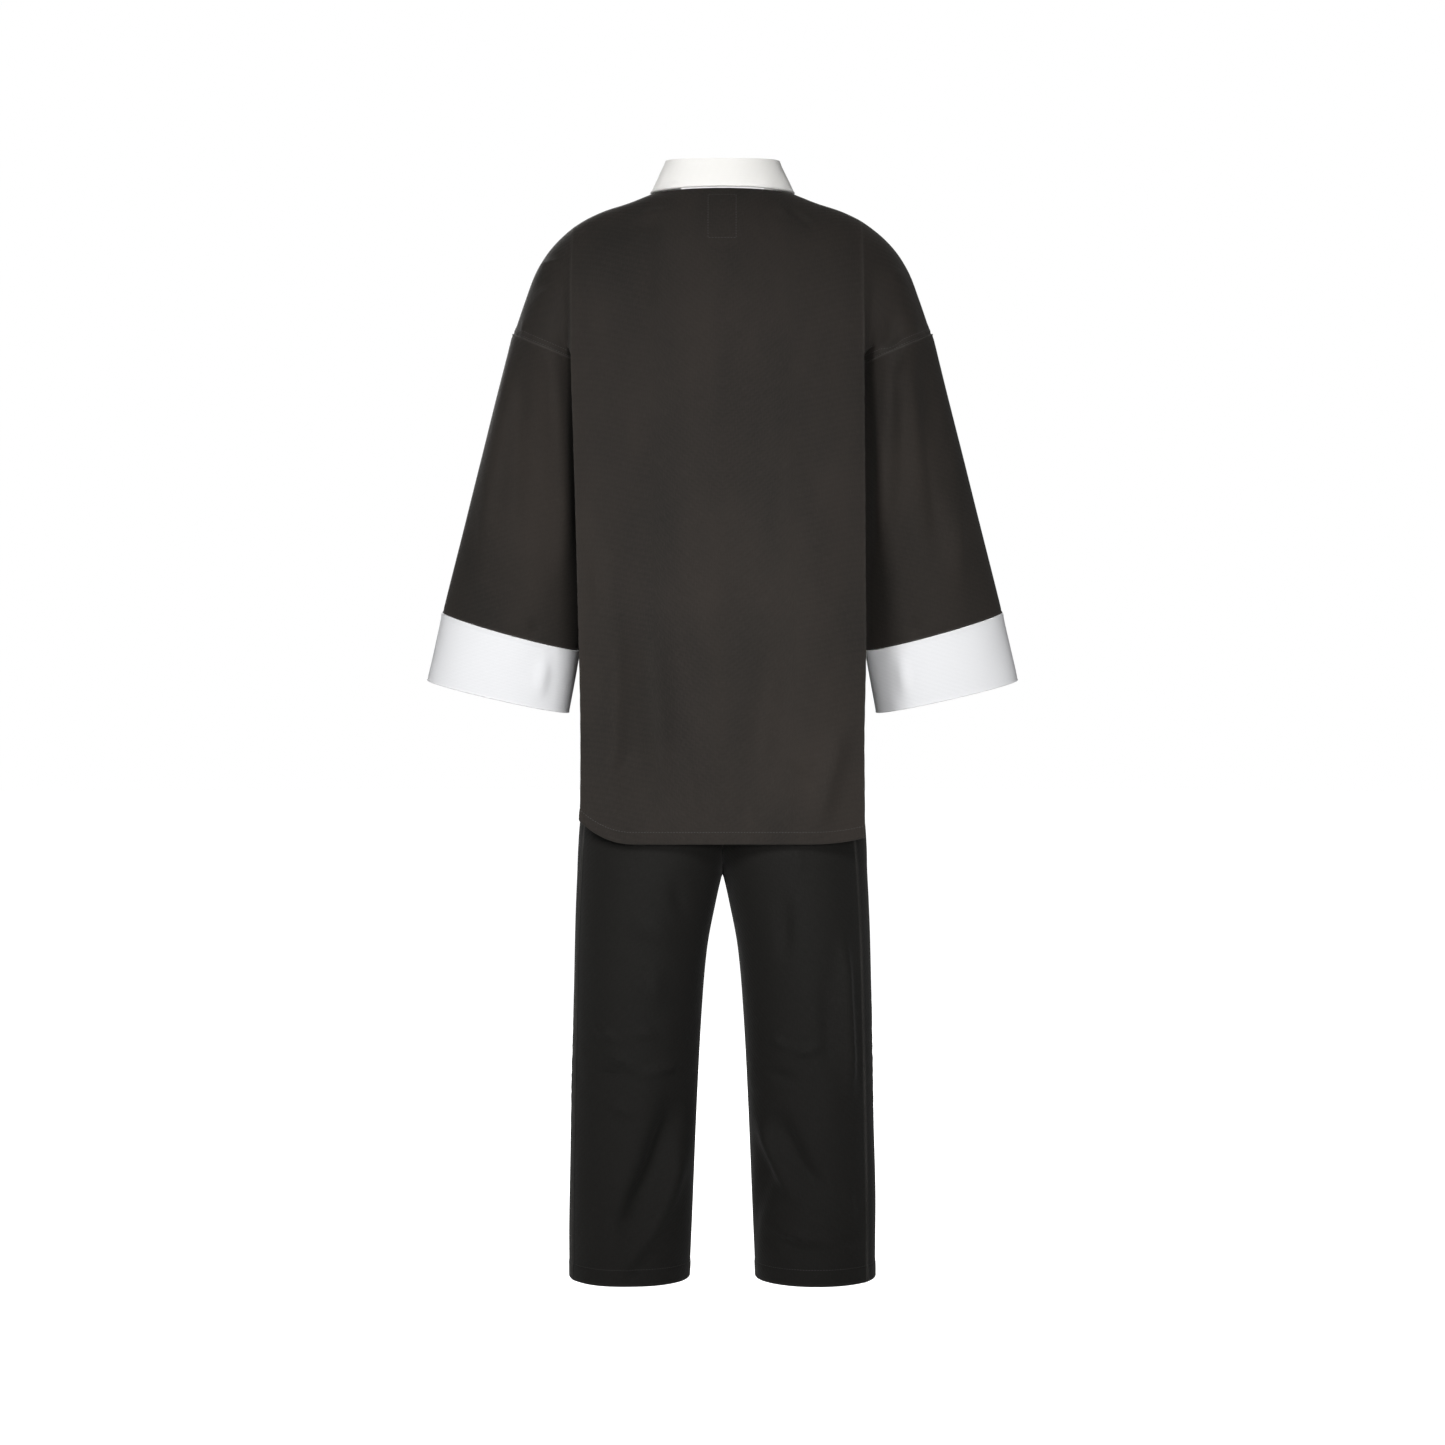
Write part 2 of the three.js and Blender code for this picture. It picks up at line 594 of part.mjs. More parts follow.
function toSolid(geometry) {
  return new wasm.Manifold(new wasm.Mesh({
    numProp: 3,
    vertProperties: new Float32Array(geometry.getAttribute('position').array),
    triVerts: new Uint32Array(geometry.index.array),
  }));
}

function toGeometry(solid) {
  const mesh = solid.getMesh();
  const geometry = new THREE.BufferGeometry();
  geometry.setAttribute('position', new THREE.Float32BufferAttribute(mesh.vertProperties, 3));
  geometry.setIndex([...mesh.triVerts]);
  return geometry;
}

// Strip of a closure that lies on the front panel, made from the panel's points moved out.
function frogStrip(hand, z, root) {
  const sheet = new Sheet();
  const out = frontOut(z);
  const place = (r, c) => {
    const x = hand * lerp(root, FROG.reach, c / FROG_STEPS);
    return frontAt(x, z + (0.5 - r) * FROG.width).addScaledVector(out, FROG.gap + FROG.thick);
  };
  sheet.grid(1, FROG_STEPS, place, hand < 0, () => [AXIS_X]);
  return toSolid(sheet.wall(FROG.thick));
}

// A closed round bar between two points.
function cord(from, to, radius) {
  const length = from.distanceTo(to);
  const bar = new THREE.CylinderGeometry(radius, radius, length, CORD_SIDES);
  const turn = new THREE.Quaternion().setFromUnitVectors(AXIS_Y, to.clone().sub(from).normalize());
  return placed(bar, mix(from, to, 0.5), turn);
}

function placed(shape, at, turn) {
  const geometry = new THREE.BufferGeometry();
  const index = new Map();
  const source = shape.index ? shape.toNonIndexed() : shape;
  const points = [];
  const ids = [];
  const position = source.getAttribute('position');
  for (let i = 0; i < position.count; i += 1) {
    const point = vec().fromBufferAttribute(position, i).applyQuaternion(turn).add(at);
    const key = point.toArray().map((value) => value.toFixed(3)).join();
    if (!index.has(key)) index.set(key, points.push(point) - 1);
    ids.push(index.get(key));
  }
  const corners = [];
  for (let i = 0; i < ids.length; i += 3) {
    if (new Set(ids.slice(i, i + 3)).size === 3) corners.push(...ids.slice(i, i + 3));
  }
  geometry.setAttribute('position', new THREE.Float32BufferAttribute(points.flatMap((p) => p.toArray()), 3));
  geometry.setIndex(corners);
  return toSolid(geometry);
}

// Knot side of a closure: the strip, a stem over the loop and the round knot.
function frogKnot(hand, z) {
  const out = frontOut(z);
  const face = frontAt(0, z);
  const level = FROG.gap + SEAM_GAP + FROG.cordRadius * 3;
  const root = frontAt(hand * (FROG.root + 2), z).addScaledVector(out, FROG.thick);
  const stemEnd = face.clone().addScaledVector(out, level + FROG.cordRadius);
  const knotAt = face.clone().addScaledVector(out, level + FROG.knotSeat);
  const knot = placed(new THREE.IcosahedronGeometry(FROG.knotRadius, 1), knotAt, new THREE.Quaternion());
  const over = frontAt(hand * (FROG.root + 1), z).addScaledVector(out, level);
  const strip = frogStrip(hand, z, FROG.root).add(cord(root, over, FROG.cordRadius));
  return toGeometry(strip.add(cord(over, stemEnd, FROG.cordRadius)).add(knot));
}

// Loop side of a closure: the strip and the ring of cord under the knot.
function frogLoop(hand, z) {
  const out = frontOut(z);
  const turn = new THREE.Quaternion().setFromUnitVectors(vec(0, 0, 1), out);
  const at = frontAt(0, z).addScaledVector(out, FROG.gap + FROG.cordRadius);
  const hoop = new THREE.TorusGeometry(FROG.loopRadius, FROG.cordRadius, LOOP_SIDES, LOOP_STEPS);
  const ring = placed(hoop, at, turn);
  return toGeometry(frogStrip(hand, z, FROG.loopRadius).add(ring));
}

const BLACK_JACKET = { color: 0x2e2c2a, roughness: 0.9, metalness: 0 };
const BLACK_TROUSERS = { color: 0x232221, roughness: 0.9, metalness: 0 };
const WHITE_TRIM = { color: 0xf1f1ef, roughness: 0.85, metalness: 0 };

function piece(name, geometry, finish) {
  geometry.computeVertexNormals();
  const mesh = new THREE.Mesh(geometry, new THREE.MeshStandardMaterial(finish));
  mesh.name = name;
  return mesh;
}

function makeJacket() {
  const jacket = new THREE.Group();
  jacket.add(piece('jacket_back', jacketBack(), BLACK_JACKET));
  jacket.add(piece('collar', collarBand(), WHITE_TRIM));
  [['left', LEFT], ['right', RIGHT]].forEach(([name, hand]) => {
    const tube = armTube(hand, ARM.seam, ARM.cuff, SLEEVE_ROWS, CLOTH, false);
    const band = armTube(hand, ARM.cuff, ARM.end, CUFF_ROWS, TRIM_CLOTH, true);
    jacket.add(piece(`jacket_front_${name}`, jacketFront(hand), BLACK_JACKET));
    jacket.add(piece(`sleeve_${name}`, tube, BLACK_JACKET));
    jacket.add(piece(`cuff_${name}`, band, WHITE_TRIM));
  });
  for (let i = 0; i < FROG.count; i += 1) {
    const z = FROG.topZ - i * FROG.step;
    jacket.add(piece(`frog_knot_${i + 1}`, frogKnot(RIGHT, z), WHITE_TRIM));
    jacket.add(piece(`frog_loop_${i + 1}`, frogLoop(LEFT, z), WHITE_TRIM));
  }
  return jacket;
}

function makeTrousers() {
  const trousers = new THREE.Group();
  trousers.add(piece('waistband', waistband(), BLACK_TROUSERS));
  [['left', LEFT], ['right', RIGHT]].forEach(([name, hand]) => {
    trousers.add(piece(`trouser_back_${name}`, trouserPanel(BACK, hand), BLACK_TROUSERS));
    trousers.add(piece(`trouser_front_${name}`, trouserPanel(FRONT, hand), BLACK_TROUSERS));
  });
  return trousers;
}

const uniform = new THREE.Group();
uniform.add(makeJacket(), makeTrousers());

export default uniform;
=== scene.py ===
"""A tai chi uniform in hollow worn form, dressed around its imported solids.

The jacket and trousers are sheets of cloth made from the same sizes as the solids, at finer steps,
with their creases, hems, seams and stitches. The cutting tables are in millimetres, meshes in metres.
"""

import json
import logging
import math
from dataclasses import dataclass, field
from enum import Enum
from typing import Callable, Sequence

import bpy
import numpy as np
from mathutils import Matrix, Vector, bvhtree, kdtree, noise

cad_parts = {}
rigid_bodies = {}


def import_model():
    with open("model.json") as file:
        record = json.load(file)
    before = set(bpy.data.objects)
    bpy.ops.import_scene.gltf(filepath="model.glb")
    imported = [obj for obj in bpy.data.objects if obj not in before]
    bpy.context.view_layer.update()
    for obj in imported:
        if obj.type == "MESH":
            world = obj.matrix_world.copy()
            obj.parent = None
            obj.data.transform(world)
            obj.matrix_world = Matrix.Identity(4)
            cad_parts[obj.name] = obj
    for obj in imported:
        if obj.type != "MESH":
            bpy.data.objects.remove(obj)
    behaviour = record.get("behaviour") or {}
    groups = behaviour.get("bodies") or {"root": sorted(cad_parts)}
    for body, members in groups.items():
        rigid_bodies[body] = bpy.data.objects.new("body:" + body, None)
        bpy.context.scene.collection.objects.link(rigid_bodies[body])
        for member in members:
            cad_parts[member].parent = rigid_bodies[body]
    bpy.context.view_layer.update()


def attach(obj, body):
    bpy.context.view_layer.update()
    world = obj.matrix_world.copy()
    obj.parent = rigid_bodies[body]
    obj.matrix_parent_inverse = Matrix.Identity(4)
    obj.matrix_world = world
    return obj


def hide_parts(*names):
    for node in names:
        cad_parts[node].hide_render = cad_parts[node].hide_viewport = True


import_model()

LOG = logging.getLogger("uniform")
MM = 0.001
Points = np.ndarray


class Hand(Enum):
    """Side of the wearer, as the sign of X."""

    LEFT = 1
    RIGHT = -1

    @property
    def word(self) -> str:
        """Name of the side in a piece's name."""
        return self.name.lower()


class Slot(Enum):
    """Finish of the record that a piece takes."""

    JACKET = "jacket_cloth"
    TROUSERS = "trouser_cloth"
    TRIM = "white_trim"


def lerp(start: float, end: float, share: Points) -> Points:
    """Value at a share of the way from start to end."""
    return start + (end - start) * share


def ease(value: Points, start: float, end: float) -> Points:
    """Smooth step from 0 at start to 1 at end."""
    share = np.clip((value - start) / (end - start), 0, 1)
    return share * share * (3 - 2 * share)


def bump(offset: Points, reach: float) -> Points:
    """Soft hill of height 1 that falls off over its reach."""
    return np.exp(-((offset / reach) ** 2))


def pack(x: Points, y: Points, z: Points) -> Points:
    """Points from three arrays that broadcast together."""
    return np.stack(np.broadcast_arrays(np.asarray(x, float), y, z), axis=-1)


class Profile:
    """Smooth curve through the rows of a table that never overshoots them."""

    def __init__(self, keys: Sequence[float], values: Sequence[float]) -> None:
        """Sorts the rows and finds a slope for each.

        Args:
            keys: where each row is, such as its height.
            values: the size at each row.
        """
        order = np.argsort(keys)
        self.keys = np.asarray(keys, float)[order]
        self.values = np.asarray(values, float)[order]
        chord = np.diff(self.values) / np.diff(self.keys)
        product, total = chord[:-1] * chord[1:], chord[:-1] + chord[1:]
        inner = np.where(product > 0, 2 * product / np.where(total == 0, 1, total), 0)
        self.slopes = np.concatenate([chord[:1], inner, chord[-1:]])

    def __call__(self, at: Points) -> Points:
        """Size at any place, held at the end rows beyond them."""
        at = np.clip(at, self.keys[0], self.keys[-1])
        row = np.clip(np.searchsorted(self.keys, at) - 1, 0, len(self.keys) - 2)
        span = self.keys[row + 1] - self.keys[row]
        t = (at - self.keys[row]) / span
        start = self.values[row] * (1 + 2 * t) * (1 - t) ** 2
        end = self.values[row + 1] * t * t * (3 - 2 * t)
        bend = self.slopes[row] * t * (1 - t) ** 2 + self.slopes[row + 1] * t * t * (t - 1)
        return start + end + span * bend


# Cloth and seams
CLOTH = 1.8
TRIM_CLOTH = 2.4
CASING = 3.0
SEAM_GAP = 0.3
SEAM_TUCK = 0.6
FRONT_GAP = 1.5

# Jacket heights
ARMPIT_Z = -198.0
HEM_Z = -770.0
VENT_TOP_Z = -640.0
VENT_HALF_GAP = 50.0

# Neck opening and collar
NECK_HALF_WIDTH = 84.4
NECK_Z = 5.0
COLLAR_TOP_HALF_WIDTH = 66.2
COLLAR_TOP_Z = 44.0
COLLAR_FRONT_GAP = 6.0

SHOULDER_POWER = 2.2
PANEL_CROWN = 2.4
SIDE_HOLLOW = 1.6
CREASE_TUCK = 5.0
TUCK_START = 0.2
TUCK_END = 0.3
RIDGE_STEP_POWER = 1.6

# Shoulder ridge: distance out and height
RIDGE = Profile(
    [84.4, 112, 140, 162, 178, 192, 208, 224, 236, 250],
    [5, -6, -15, -25, -35, -46, -63, -89, -121, -162.4],
)

# Jacket body: height, left and right crease, then depths of the back and front, and the side seam
BODY = [
    (10, 177, 165, 104, 92, 106, 90, 152),
    (-120, 178, 165, 104, 92, 106, 90, 152),
    (-198, 178, 166, 104, 92, 106, 90, 152),
    (-300, 175, 166.5, 111, 96, 112, 94, 150),
    (-420, 171.5, 167.5, 114, 97, 112, 95, 151),
    (-540, 168, 168, 113, 97, 109, 95, 154),
    (-660, 166, 166, 114, 98, 108, 95, 162),
    (-780, 167, 166, 117, 100, 109, 96, 163.2),
]
BODY_PROFILES = [Profile([row[0] for row in BODY], [row[i] for row in BODY]) for i in range(1, 8)]
CREASE_X = {Hand.LEFT: BODY_PROFILES[0], Hand.RIGHT: BODY_PROFILES[1]}
SIDE_X = BODY_PROFILES[6]


@dataclass(frozen=True)
class Face:
    """Back or front of the suit: its neckline and how deep it lies from the middle plane."""

    word: str
    sign: int
    neck_depth: float
    neck_drop: float
    collar_depth: float
    collar_drop: float
    middle: Profile
    edge: Profile

    def depth(self, share: Points, z: Points) -> Points:
        """Depth of the panel at a share of the way from its middle to its crease."""
        return self.middle(z) + (self.edge(z) - self.middle(z)) * share**PANEL_CROWN


BACK = Face("back", 1, 54, 0, 46, 3, BODY_PROFILES[2], BODY_PROFILES[3])
FRONT = Face("front", -1, 82, 55, 70, 54, BODY_PROFILES[4], BODY_PROFILES[5])

HEM_CURL = {Hand.LEFT: 26.0, Hand.RIGHT: 7.0}
HEM_CURL_FROM = 0.62
HEM_CURL_POWER = 2.2

# Trouser sections: height, middle of the leg, half width, half depth
LEGS = [
    (-455, 0, 126, 90),
    (-520, 0, 137, 96),
    (-600, 25, 120, 99),
    (-680, 52, 103, 100),
    (-740, 73, 97, 100),
    (-775, 81, 92, 101),
    (-809, 87, 87, 102),
    (-841, 91.5, 84, 101),
    (-900, 98, 79.5, 97),
    (-961, 101.5, 77.5, 92),
    (-1081, 106, 75.5, 84),
    (-1201, 109.5, 74, 79),
    (-1292, 111.5, 72, 77),
]
LEG_MIDDLE, LEG_HALF, LEG_DEPTH = (
    Profile([row[0] for row in LEGS], [row[i] for row in LEGS]) for i in range(1, 4)
)
CROTCH_Z = -809.0
WAIST_SEAM_Z = -455.0
WAIST_TOP_Z = -415.0
WAIST_TOP_HALF_WIDTH = 122.0
WAIST_TOP_DEPTH = 87.0
OUTSEAM = {Hand.LEFT: math.radians(22), Hand.RIGHT: math.radians(34)}


@dataclass(frozen=True)
class Ring:
    """Ring of the arm: outer and inner edge, place and half depth front to back, and lean."""

    out_x: float
    out_z: float
    in_x: float
    in_z: float
    y: float
    depth: float
    lean: float


ARM_SEAM = Ring(250, -162.4, 162, -200, 0, 80, -7.3)
ARM_CUFF = Ring(338, -495, 175, -540, -45, 52, -6)
ARM_END = Ring(357.5, -577.5, 189.4, -616, -56, 50, -4)
ARM_CREASE_ANGLE = math.radians(118)
ARM_CREASE_SHARE = 7 / 11


@dataclass(frozen=True)
class BodyFold:
    """Soft fold in a panel: its place and reach in fractions of the panel, and its height."""

    across: float
    down: float
    width: float
    length: float
    height: float


BACK_FOLDS = (
    BodyFold(0.52, 1.75, 0.2, 0.55, 4),
    BodyFold(-0.1, 1.7, 0.16, 0.6, -4),
    BodyFold(-0.62, 1.55, 0.2, 0.7, 3.5),
    BodyFold(0.8, 1.3, 0.16, 0.5, -3),
)
SLEEVE_FOLDS = {
    Hand.LEFT: (
        BodyFold(0.12, 0.25, 0.05, 0.4, 5),
        BodyFold(0.24, 0.4, 0.06, 0.5, -5),
        BodyFold(0.74, 0.4, 0.06, 0.5, -5),
    ),
    Hand.RIGHT: (
        BodyFold(0.27, 0.12, 0.045, 0.35, -6),
        BodyFold(0.13, 0.45, 0.05, 0.6, -5),
        BodyFold(0.76, 0.45, 0.06, 0.5, -5),
    ),
}
LEG_FOLDS = {
    (Hand.LEFT, "back"): ((0.6, -1170, 0.13, 110, -7, 0.0012), (0.36, -1200, 0.12, 80, 5, 0.0012)),
    (Hand.RIGHT, "back"): ((0.72, -1165, 0.1, 60, -5, -0.003), (0.28, -1020, 0.1, 90, 5, 0.0)),
    (Hand.LEFT, "front"): ((0.5, -1120, 0.12, 120, -6, 0.001),),
    (Hand.RIGHT, "front"): ((0.5, -1120, 0.12, 120, -6, 0.001),),
}


def hem_z(face: Face, hand: Hand, share: Points) -> Points:
    """Height of the jacket hem, with the curl of the back corners."""
    lift = HEM_CURL[hand] if face is BACK else 0.0
    curl = np.clip((share - HEM_CURL_FROM) / (1 - HEM_CURL_FROM), 0, 1) ** HEM_CURL_POWER
    return HEM_Z + lift * curl


def column_top(face: Face, hand: Hand, share: Points) -> tuple[Points, Points, Points, float]:
    """Top of a column of a jacket panel, on the neckline or out along the shoulder ridge.

    Args:
        face: back or front.
        hand: left or right half.
        share: from 0 in the middle, by 0.5 at the side of the neck, to 1 at the crease.

    Returns:
        Distance out, angle round the shoulder, height of the peak, and distance out of the crease.
    """
    crease = float(CREASE_X[hand](0.0))
    ridge_out = lerp(NECK_HALF_WIDTH, crease, 2 * np.maximum(share, 0.5) - 1)
    turn = np.pi * np.minimum(share, 0.5)
    neck_out = NECK_HALF_WIDTH * np.sin(turn)
    depth = face.neck_depth * np.cos(turn)
    z = NECK_Z - face.neck_drop * np.cos(turn) ** 2
    rise = np.clip(depth / face.depth(neck_out / crease, ARMPIT_Z), 0, 1)
    angle = np.arcsin(rise ** (SHOULDER_POWER / 2))
    peak = ARMPIT_Z + (z - ARMPIT_Z) / np.cos(angle) ** (2 / SHOULDER_POWER)
    on_neck = share < 0.5
    out = np.where(on_neck, neck_out, ridge_out)
    return out, np.where(on_neck, angle, 0), np.where(on_neck, peak, RIDGE(ridge_out)), crease


def torso(face: Face, hand: Hand, share: Points, down: Points) -> Points:
    """Body of the jacket from its middle to its crease.

    Args:
        face: back or front.
        hand: left or right half.
        share: 0 in the middle to 1 at the crease.
        down: 0 at the neck and shoulder, 1 at the armpit, 2 at the hem.

    Returns:
        Points in millimetres.
    """
    share, down = np.broadcast_arrays(np.asarray(share, float), np.asarray(down, float))
    out, top_angle, peak, crease = column_top(face, hand, share)
    ratio = out / crease
    gap = FRONT_GAP / 2 * (1 - ratio) if face is FRONT else 0.0
    fold = np.zeros_like(ratio)
    if face is BACK:
        for each in BACK_FOLDS:
            over = bump(hand.value * ratio - each.across, each.width)
            fold += each.height * over * bump(down - each.down, each.length)
        fold *= ease(down, 0.6, 1.2)
    low_z = lerp(ARMPIT_Z, hem_z(face, hand, ratio), down - 1)
    angle = lerp(top_angle, np.pi / 2, down)
    power = 2 / SHOULDER_POWER
    upper = down <= 1
    high_z = ARMPIT_Z + (peak - ARMPIT_Z) * np.clip(np.cos(np.where(upper, angle, 0)), 0, 1) ** power
    z = np.where(upper, high_z, low_z)
    at_crease = np.where(upper, lerp(0, ARMPIT_Z, down), low_z)
    x = ratio * CREASE_X[hand](at_crease) + gap
    round_off = np.where(upper, np.clip(np.sin(np.where(upper, angle, 0)), 0, 1) ** power, 1)
    depth = face.depth(ratio, np.where(upper, ARMPIT_Z, low_z)) * round_off + fold
    return pack(hand.value * x, face.sign * np.maximum(depth, SEAM_GAP / 2), z)


def flank(face: Face, hand: Hand, across: Points, down: Points) -> Points:
    """Side of the jacket from its crease (across 0) to the side seam (across 1), below the arm."""
    across, down = np.broadcast_arrays(np.asarray(across, float), np.asarray(down, float))
    crease = torso(face, hand, np.ones_like(down), down)
    x, y, z = crease[..., 0], crease[..., 1], crease[..., 2]
    vent = VENT_HALF_GAP * ease(-z, -VENT_TOP_Z, -HEM_Z)
    out = (1 - across) ** SIDE_HOLLOW
    side = lerp(SIDE_X(z), hand.value * x, out)
    return pack(hand.value * side, lerp(y, face.sign * (SEAM_GAP / 2 + vent), across), z)


class ArmRing:
    """Rings of one arm between two of its named rings."""

    def __init__(self, hand: Hand, start: Ring, end: Ring, share: Points) -> None:
        """Finds the centres, reaches and depths at shares of the way from start to end."""
        share = np.asarray(share, float)
        x_out, x_in = (hand.value * lerp(getattr(start, n), getattr(end, n), share) for n in ("out_x", "in_x"))
        z_out, z_in, y = (lerp(getattr(start, n), getattr(end, n), share) for n in ("out_z", "in_z", "y"))
        outer, inner = pack(x_out, y, z_out), pack(x_in, y, z_in)
        self.centre = (outer + inner) / 2
        self.reach = outer - self.centre
        self.depth = pack(0 * share, lerp(start.depth, end.depth, share), lerp(start.lean, end.lean, share))
        normal = np.cross(self.reach, self.depth)
        normal /= np.linalg.norm(normal, axis=-1, keepdims=True)
        self.normal = np.where(normal[..., 2:] > 0, -normal, normal)

    def at(self, angle: Points) -> Points:
        """Points on the rings at an angle from the outer edge, round by the back."""
        angle = np.asarray(angle, float)[..., None]
        return self.centre + self.reach * np.cos(angle) + self.depth * np.sin(angle)


def arm_angle(turn: Points) -> Points:
    """Angle on the arm ring for a share of the way from the ridge round to the underarm."""
    first = ARM_CREASE_ANGLE * turn / ARM_CREASE_SHARE
    rest = lerp(ARM_CREASE_ANGLE, np.pi, (turn - ARM_CREASE_SHARE) / (1 - ARM_CREASE_SHARE))
    return np.where(turn <= ARM_CREASE_SHARE, first, rest)


def settled(face: Face, points: Points) -> Points:
    """Points kept on the face's own side of the shoulder seam."""
    points = points.copy()
    points[..., 1] = face.sign * np.maximum(face.sign * points[..., 1], SEAM_GAP / 2)
    return points


def shoulder(face: Face, hand: Hand, out: Points, turn: Points) -> Points:
    """Shoulder part of a panel, a patch between its four borders.

    Args:
        face: back or front.
        hand: left or right.
        out: 0 at the crease to 1 at the sleeve seam.
        turn: 0 on the ridge to 1 at the underarm.

    Returns:
        Points in millimetres.
    """
    out, turn = np.broadcast_arrays(np.asarray(out, float), np.asarray(turn, float))
    ring = ArmRing(hand, ARM_SEAM, ARM_SEAM, 0.0)

    def seam(at: Points) -> Points:
        """Points on the sleeve seam."""
        return settled(face, ring.at(face.sign * arm_angle(at)) - ring.normal * SEAM_GAP / 2)

    body = torso(face, hand, np.ones_like(turn), np.minimum(turn / ARM_CREASE_SHARE, 1))
    low = np.maximum(turn - ARM_CREASE_SHARE, 0) / (1 - ARM_CREASE_SHARE)
    crease = np.where((turn <= ARM_CREASE_SHARE)[..., None], body, flank(face, hand, low, np.ones_like(low)))
    zero, one = np.zeros_like(turn), np.ones_like(turn)
    start, under = torso(face, hand, one, zero), flank(face, hand, one, one)
    outer, inner = seam(zero), seam(one)
    step = (1 - (1 - out) ** RIDGE_STEP_POWER)[..., None]
    ridge = lerp(start, outer, step)
    ridge[..., 2] = np.where(out < 1, RIDGE(np.abs(ridge[..., 0])), ridge[..., 2])
    underarm = lerp(under, inner, step)
    share = turn[..., None]
    across = lerp(crease, seam(turn), step)
    patch = across + lerp(ridge, underarm, share) - lerp(lerp(start, outer, step), underarm, share)
    ramp = ease(out, 0, TUCK_START) * (1 - ease(out, TUCK_END, 1))
    patch[..., 1] -= face.sign * CREASE_TUCK * np.sin(np.pi * turn) * ramp
    return settled(face, patch)


def arm_tube(hand: Hand, start: Ring, end: Ring, turn: Points, along: Points) -> Points:
    """Sleeve or cuff, round from its outer edge by the back, and along from ring to ring."""
    turn, along = np.broadcast_arrays(np.asarray(turn, float), np.asarray(along, float))
    rings = ArmRing(hand, start, end, along)
    angle = np.where(turn <= 0.5, arm_angle(2 * turn), 2 * np.pi - arm_angle(2 - 2 * turn))
    at = rings.at(angle)
    if start is not ARM_SEAM:
        return at
    fold = sum(f.height * bump(turn - f.across, f.width) * bump(along - f.down, f.length) for f in SLEEVE_FOLDS[hand])
    away = at - rings.centre
    away /= np.linalg.norm(away, axis=-1, keepdims=True)
    return at + away * (fold * ease(along, 0, 0.1))[..., None]


def stand_collar(turn: Points, up: Points) -> Points:
    """Stand collar round from the right end of the front by the back to the left end.

    Args:
        turn: 0 at the right end to 1 at the left end.
        up: 0 at the foot to 1 at the rim.

    Returns:
        Points in millimetres.
    """
    turn, up = np.broadcast_arrays(np.asarray(turn, float), np.asarray(up, float))
    gap = COLLAR_FRONT_GAP / 2 / NECK_HALF_WIDTH
    angle = lerp(-np.pi / 2 + gap, 1.5 * np.pi - gap, turn)
    share = np.sin(angle) ** 2
    behind = np.sin(angle) >= 0

    def pick(name: str) -> Points:
        """A size of the face that each point is on."""
        return np.where(behind, getattr(BACK, name), getattr(FRONT, name))

    foot = pack(
        -NECK_HALF_WIDTH * np.cos(angle),
        pick("neck_depth") * np.sin(angle),
        NECK_Z + SEAM_GAP - pick("neck_drop") * share,
    )
    rim = pack(
        -COLLAR_TOP_HALF_WIDTH * np.cos(angle),
        pick("collar_depth") * np.sin(angle),
        COLLAR_TOP_Z - pick("collar_drop") * share,
    )
    return lerp(foot, rim, up[..., None])


def trouser_half(face: Face, hand: Hand, turn: Points, z: Points) -> Points:
    """Half of a trouser leg, from the outer seam to the inner seam or the middle seam.

    The front laps a little past the outer and middle seams, so that no light shows between the panels.

    Args:
        face: back or front.
        hand: left or right.
        turn: 0 at the outer seam to 1 at the inner or middle seam.
        z: height.

    Returns:
        Points in millimetres.
    """
    turn, z = np.broadcast_arrays(np.asarray(turn, float), np.asarray(z, float))
    middle, half, depth = LEG_MIDDLE(z), LEG_HALF(z), LEG_DEPTH(z)
    above = z >= CROTCH_Z
    last = np.where(above, np.arccos(np.clip(-middle / half, -1, 1)), np.pi)
    lap = SEAM_GAP / 2 if face is BACK else SEAM_TUCK
    angle = lerp(OUTSEAM[hand] + lap / depth, face.sign * last, turn)
    fold = np.zeros_like(z)
    for where, height, width, length, rise, lean in LEG_FOLDS[hand, face.word]:
        fold += rise * bump(turn - where - lean * (z - height), width) * bump(z - height, length)
    fold *= ease(turn, 0, 0.15) * (1 - ease(turn, 0.85, 1))
    x = middle + (half + fold) * np.cos(angle)
    y = (depth + fold) * np.sin(angle)
    x = np.where((turn == 1) & above, SEAM_GAP / 2 if face is BACK else -SEAM_TUCK, x)
    y = np.where((turn == 1) & ~above, face.sign * SEAM_GAP / 2, y)
    return pack(hand.value * x, y, z)


def steps(start: float, end: float, size: float, fine: float = 0.0, reach: float = 0.0, ends: str = "") -> Points:
    """Places from start to end, closer together near the ends that are named.

    Args:
        start: first place.
        end: last place.
        size: usual step.
        fine: step near a named end.
        reach: how far the fine steps reach.
        ends: "start", "end", "both" or nothing.

    Returns:
        Places in order, with both ends among them.
    """
    places, inner_start, inner_end = [], start, end
    if ends in ("start", "both"):
        count = max(round(reach / fine), 1)
        places.append(np.linspace(start, start + reach, count, endpoint=False))
        inner_start = start + reach
    if ends in ("end", "both"):
        inner_end = end - reach
    count = max(round(abs(inner_end - inner_start) / size), 1)
    places.append(np.linspace(inner_start, inner_end, count, endpoint=False))
    if ends in ("end", "both"):
        count = max(round(reach / fine), 1)
        places.append(np.linspace(inner_end, end, count, endpoint=False))
    return np.concatenate([*places, [end]])


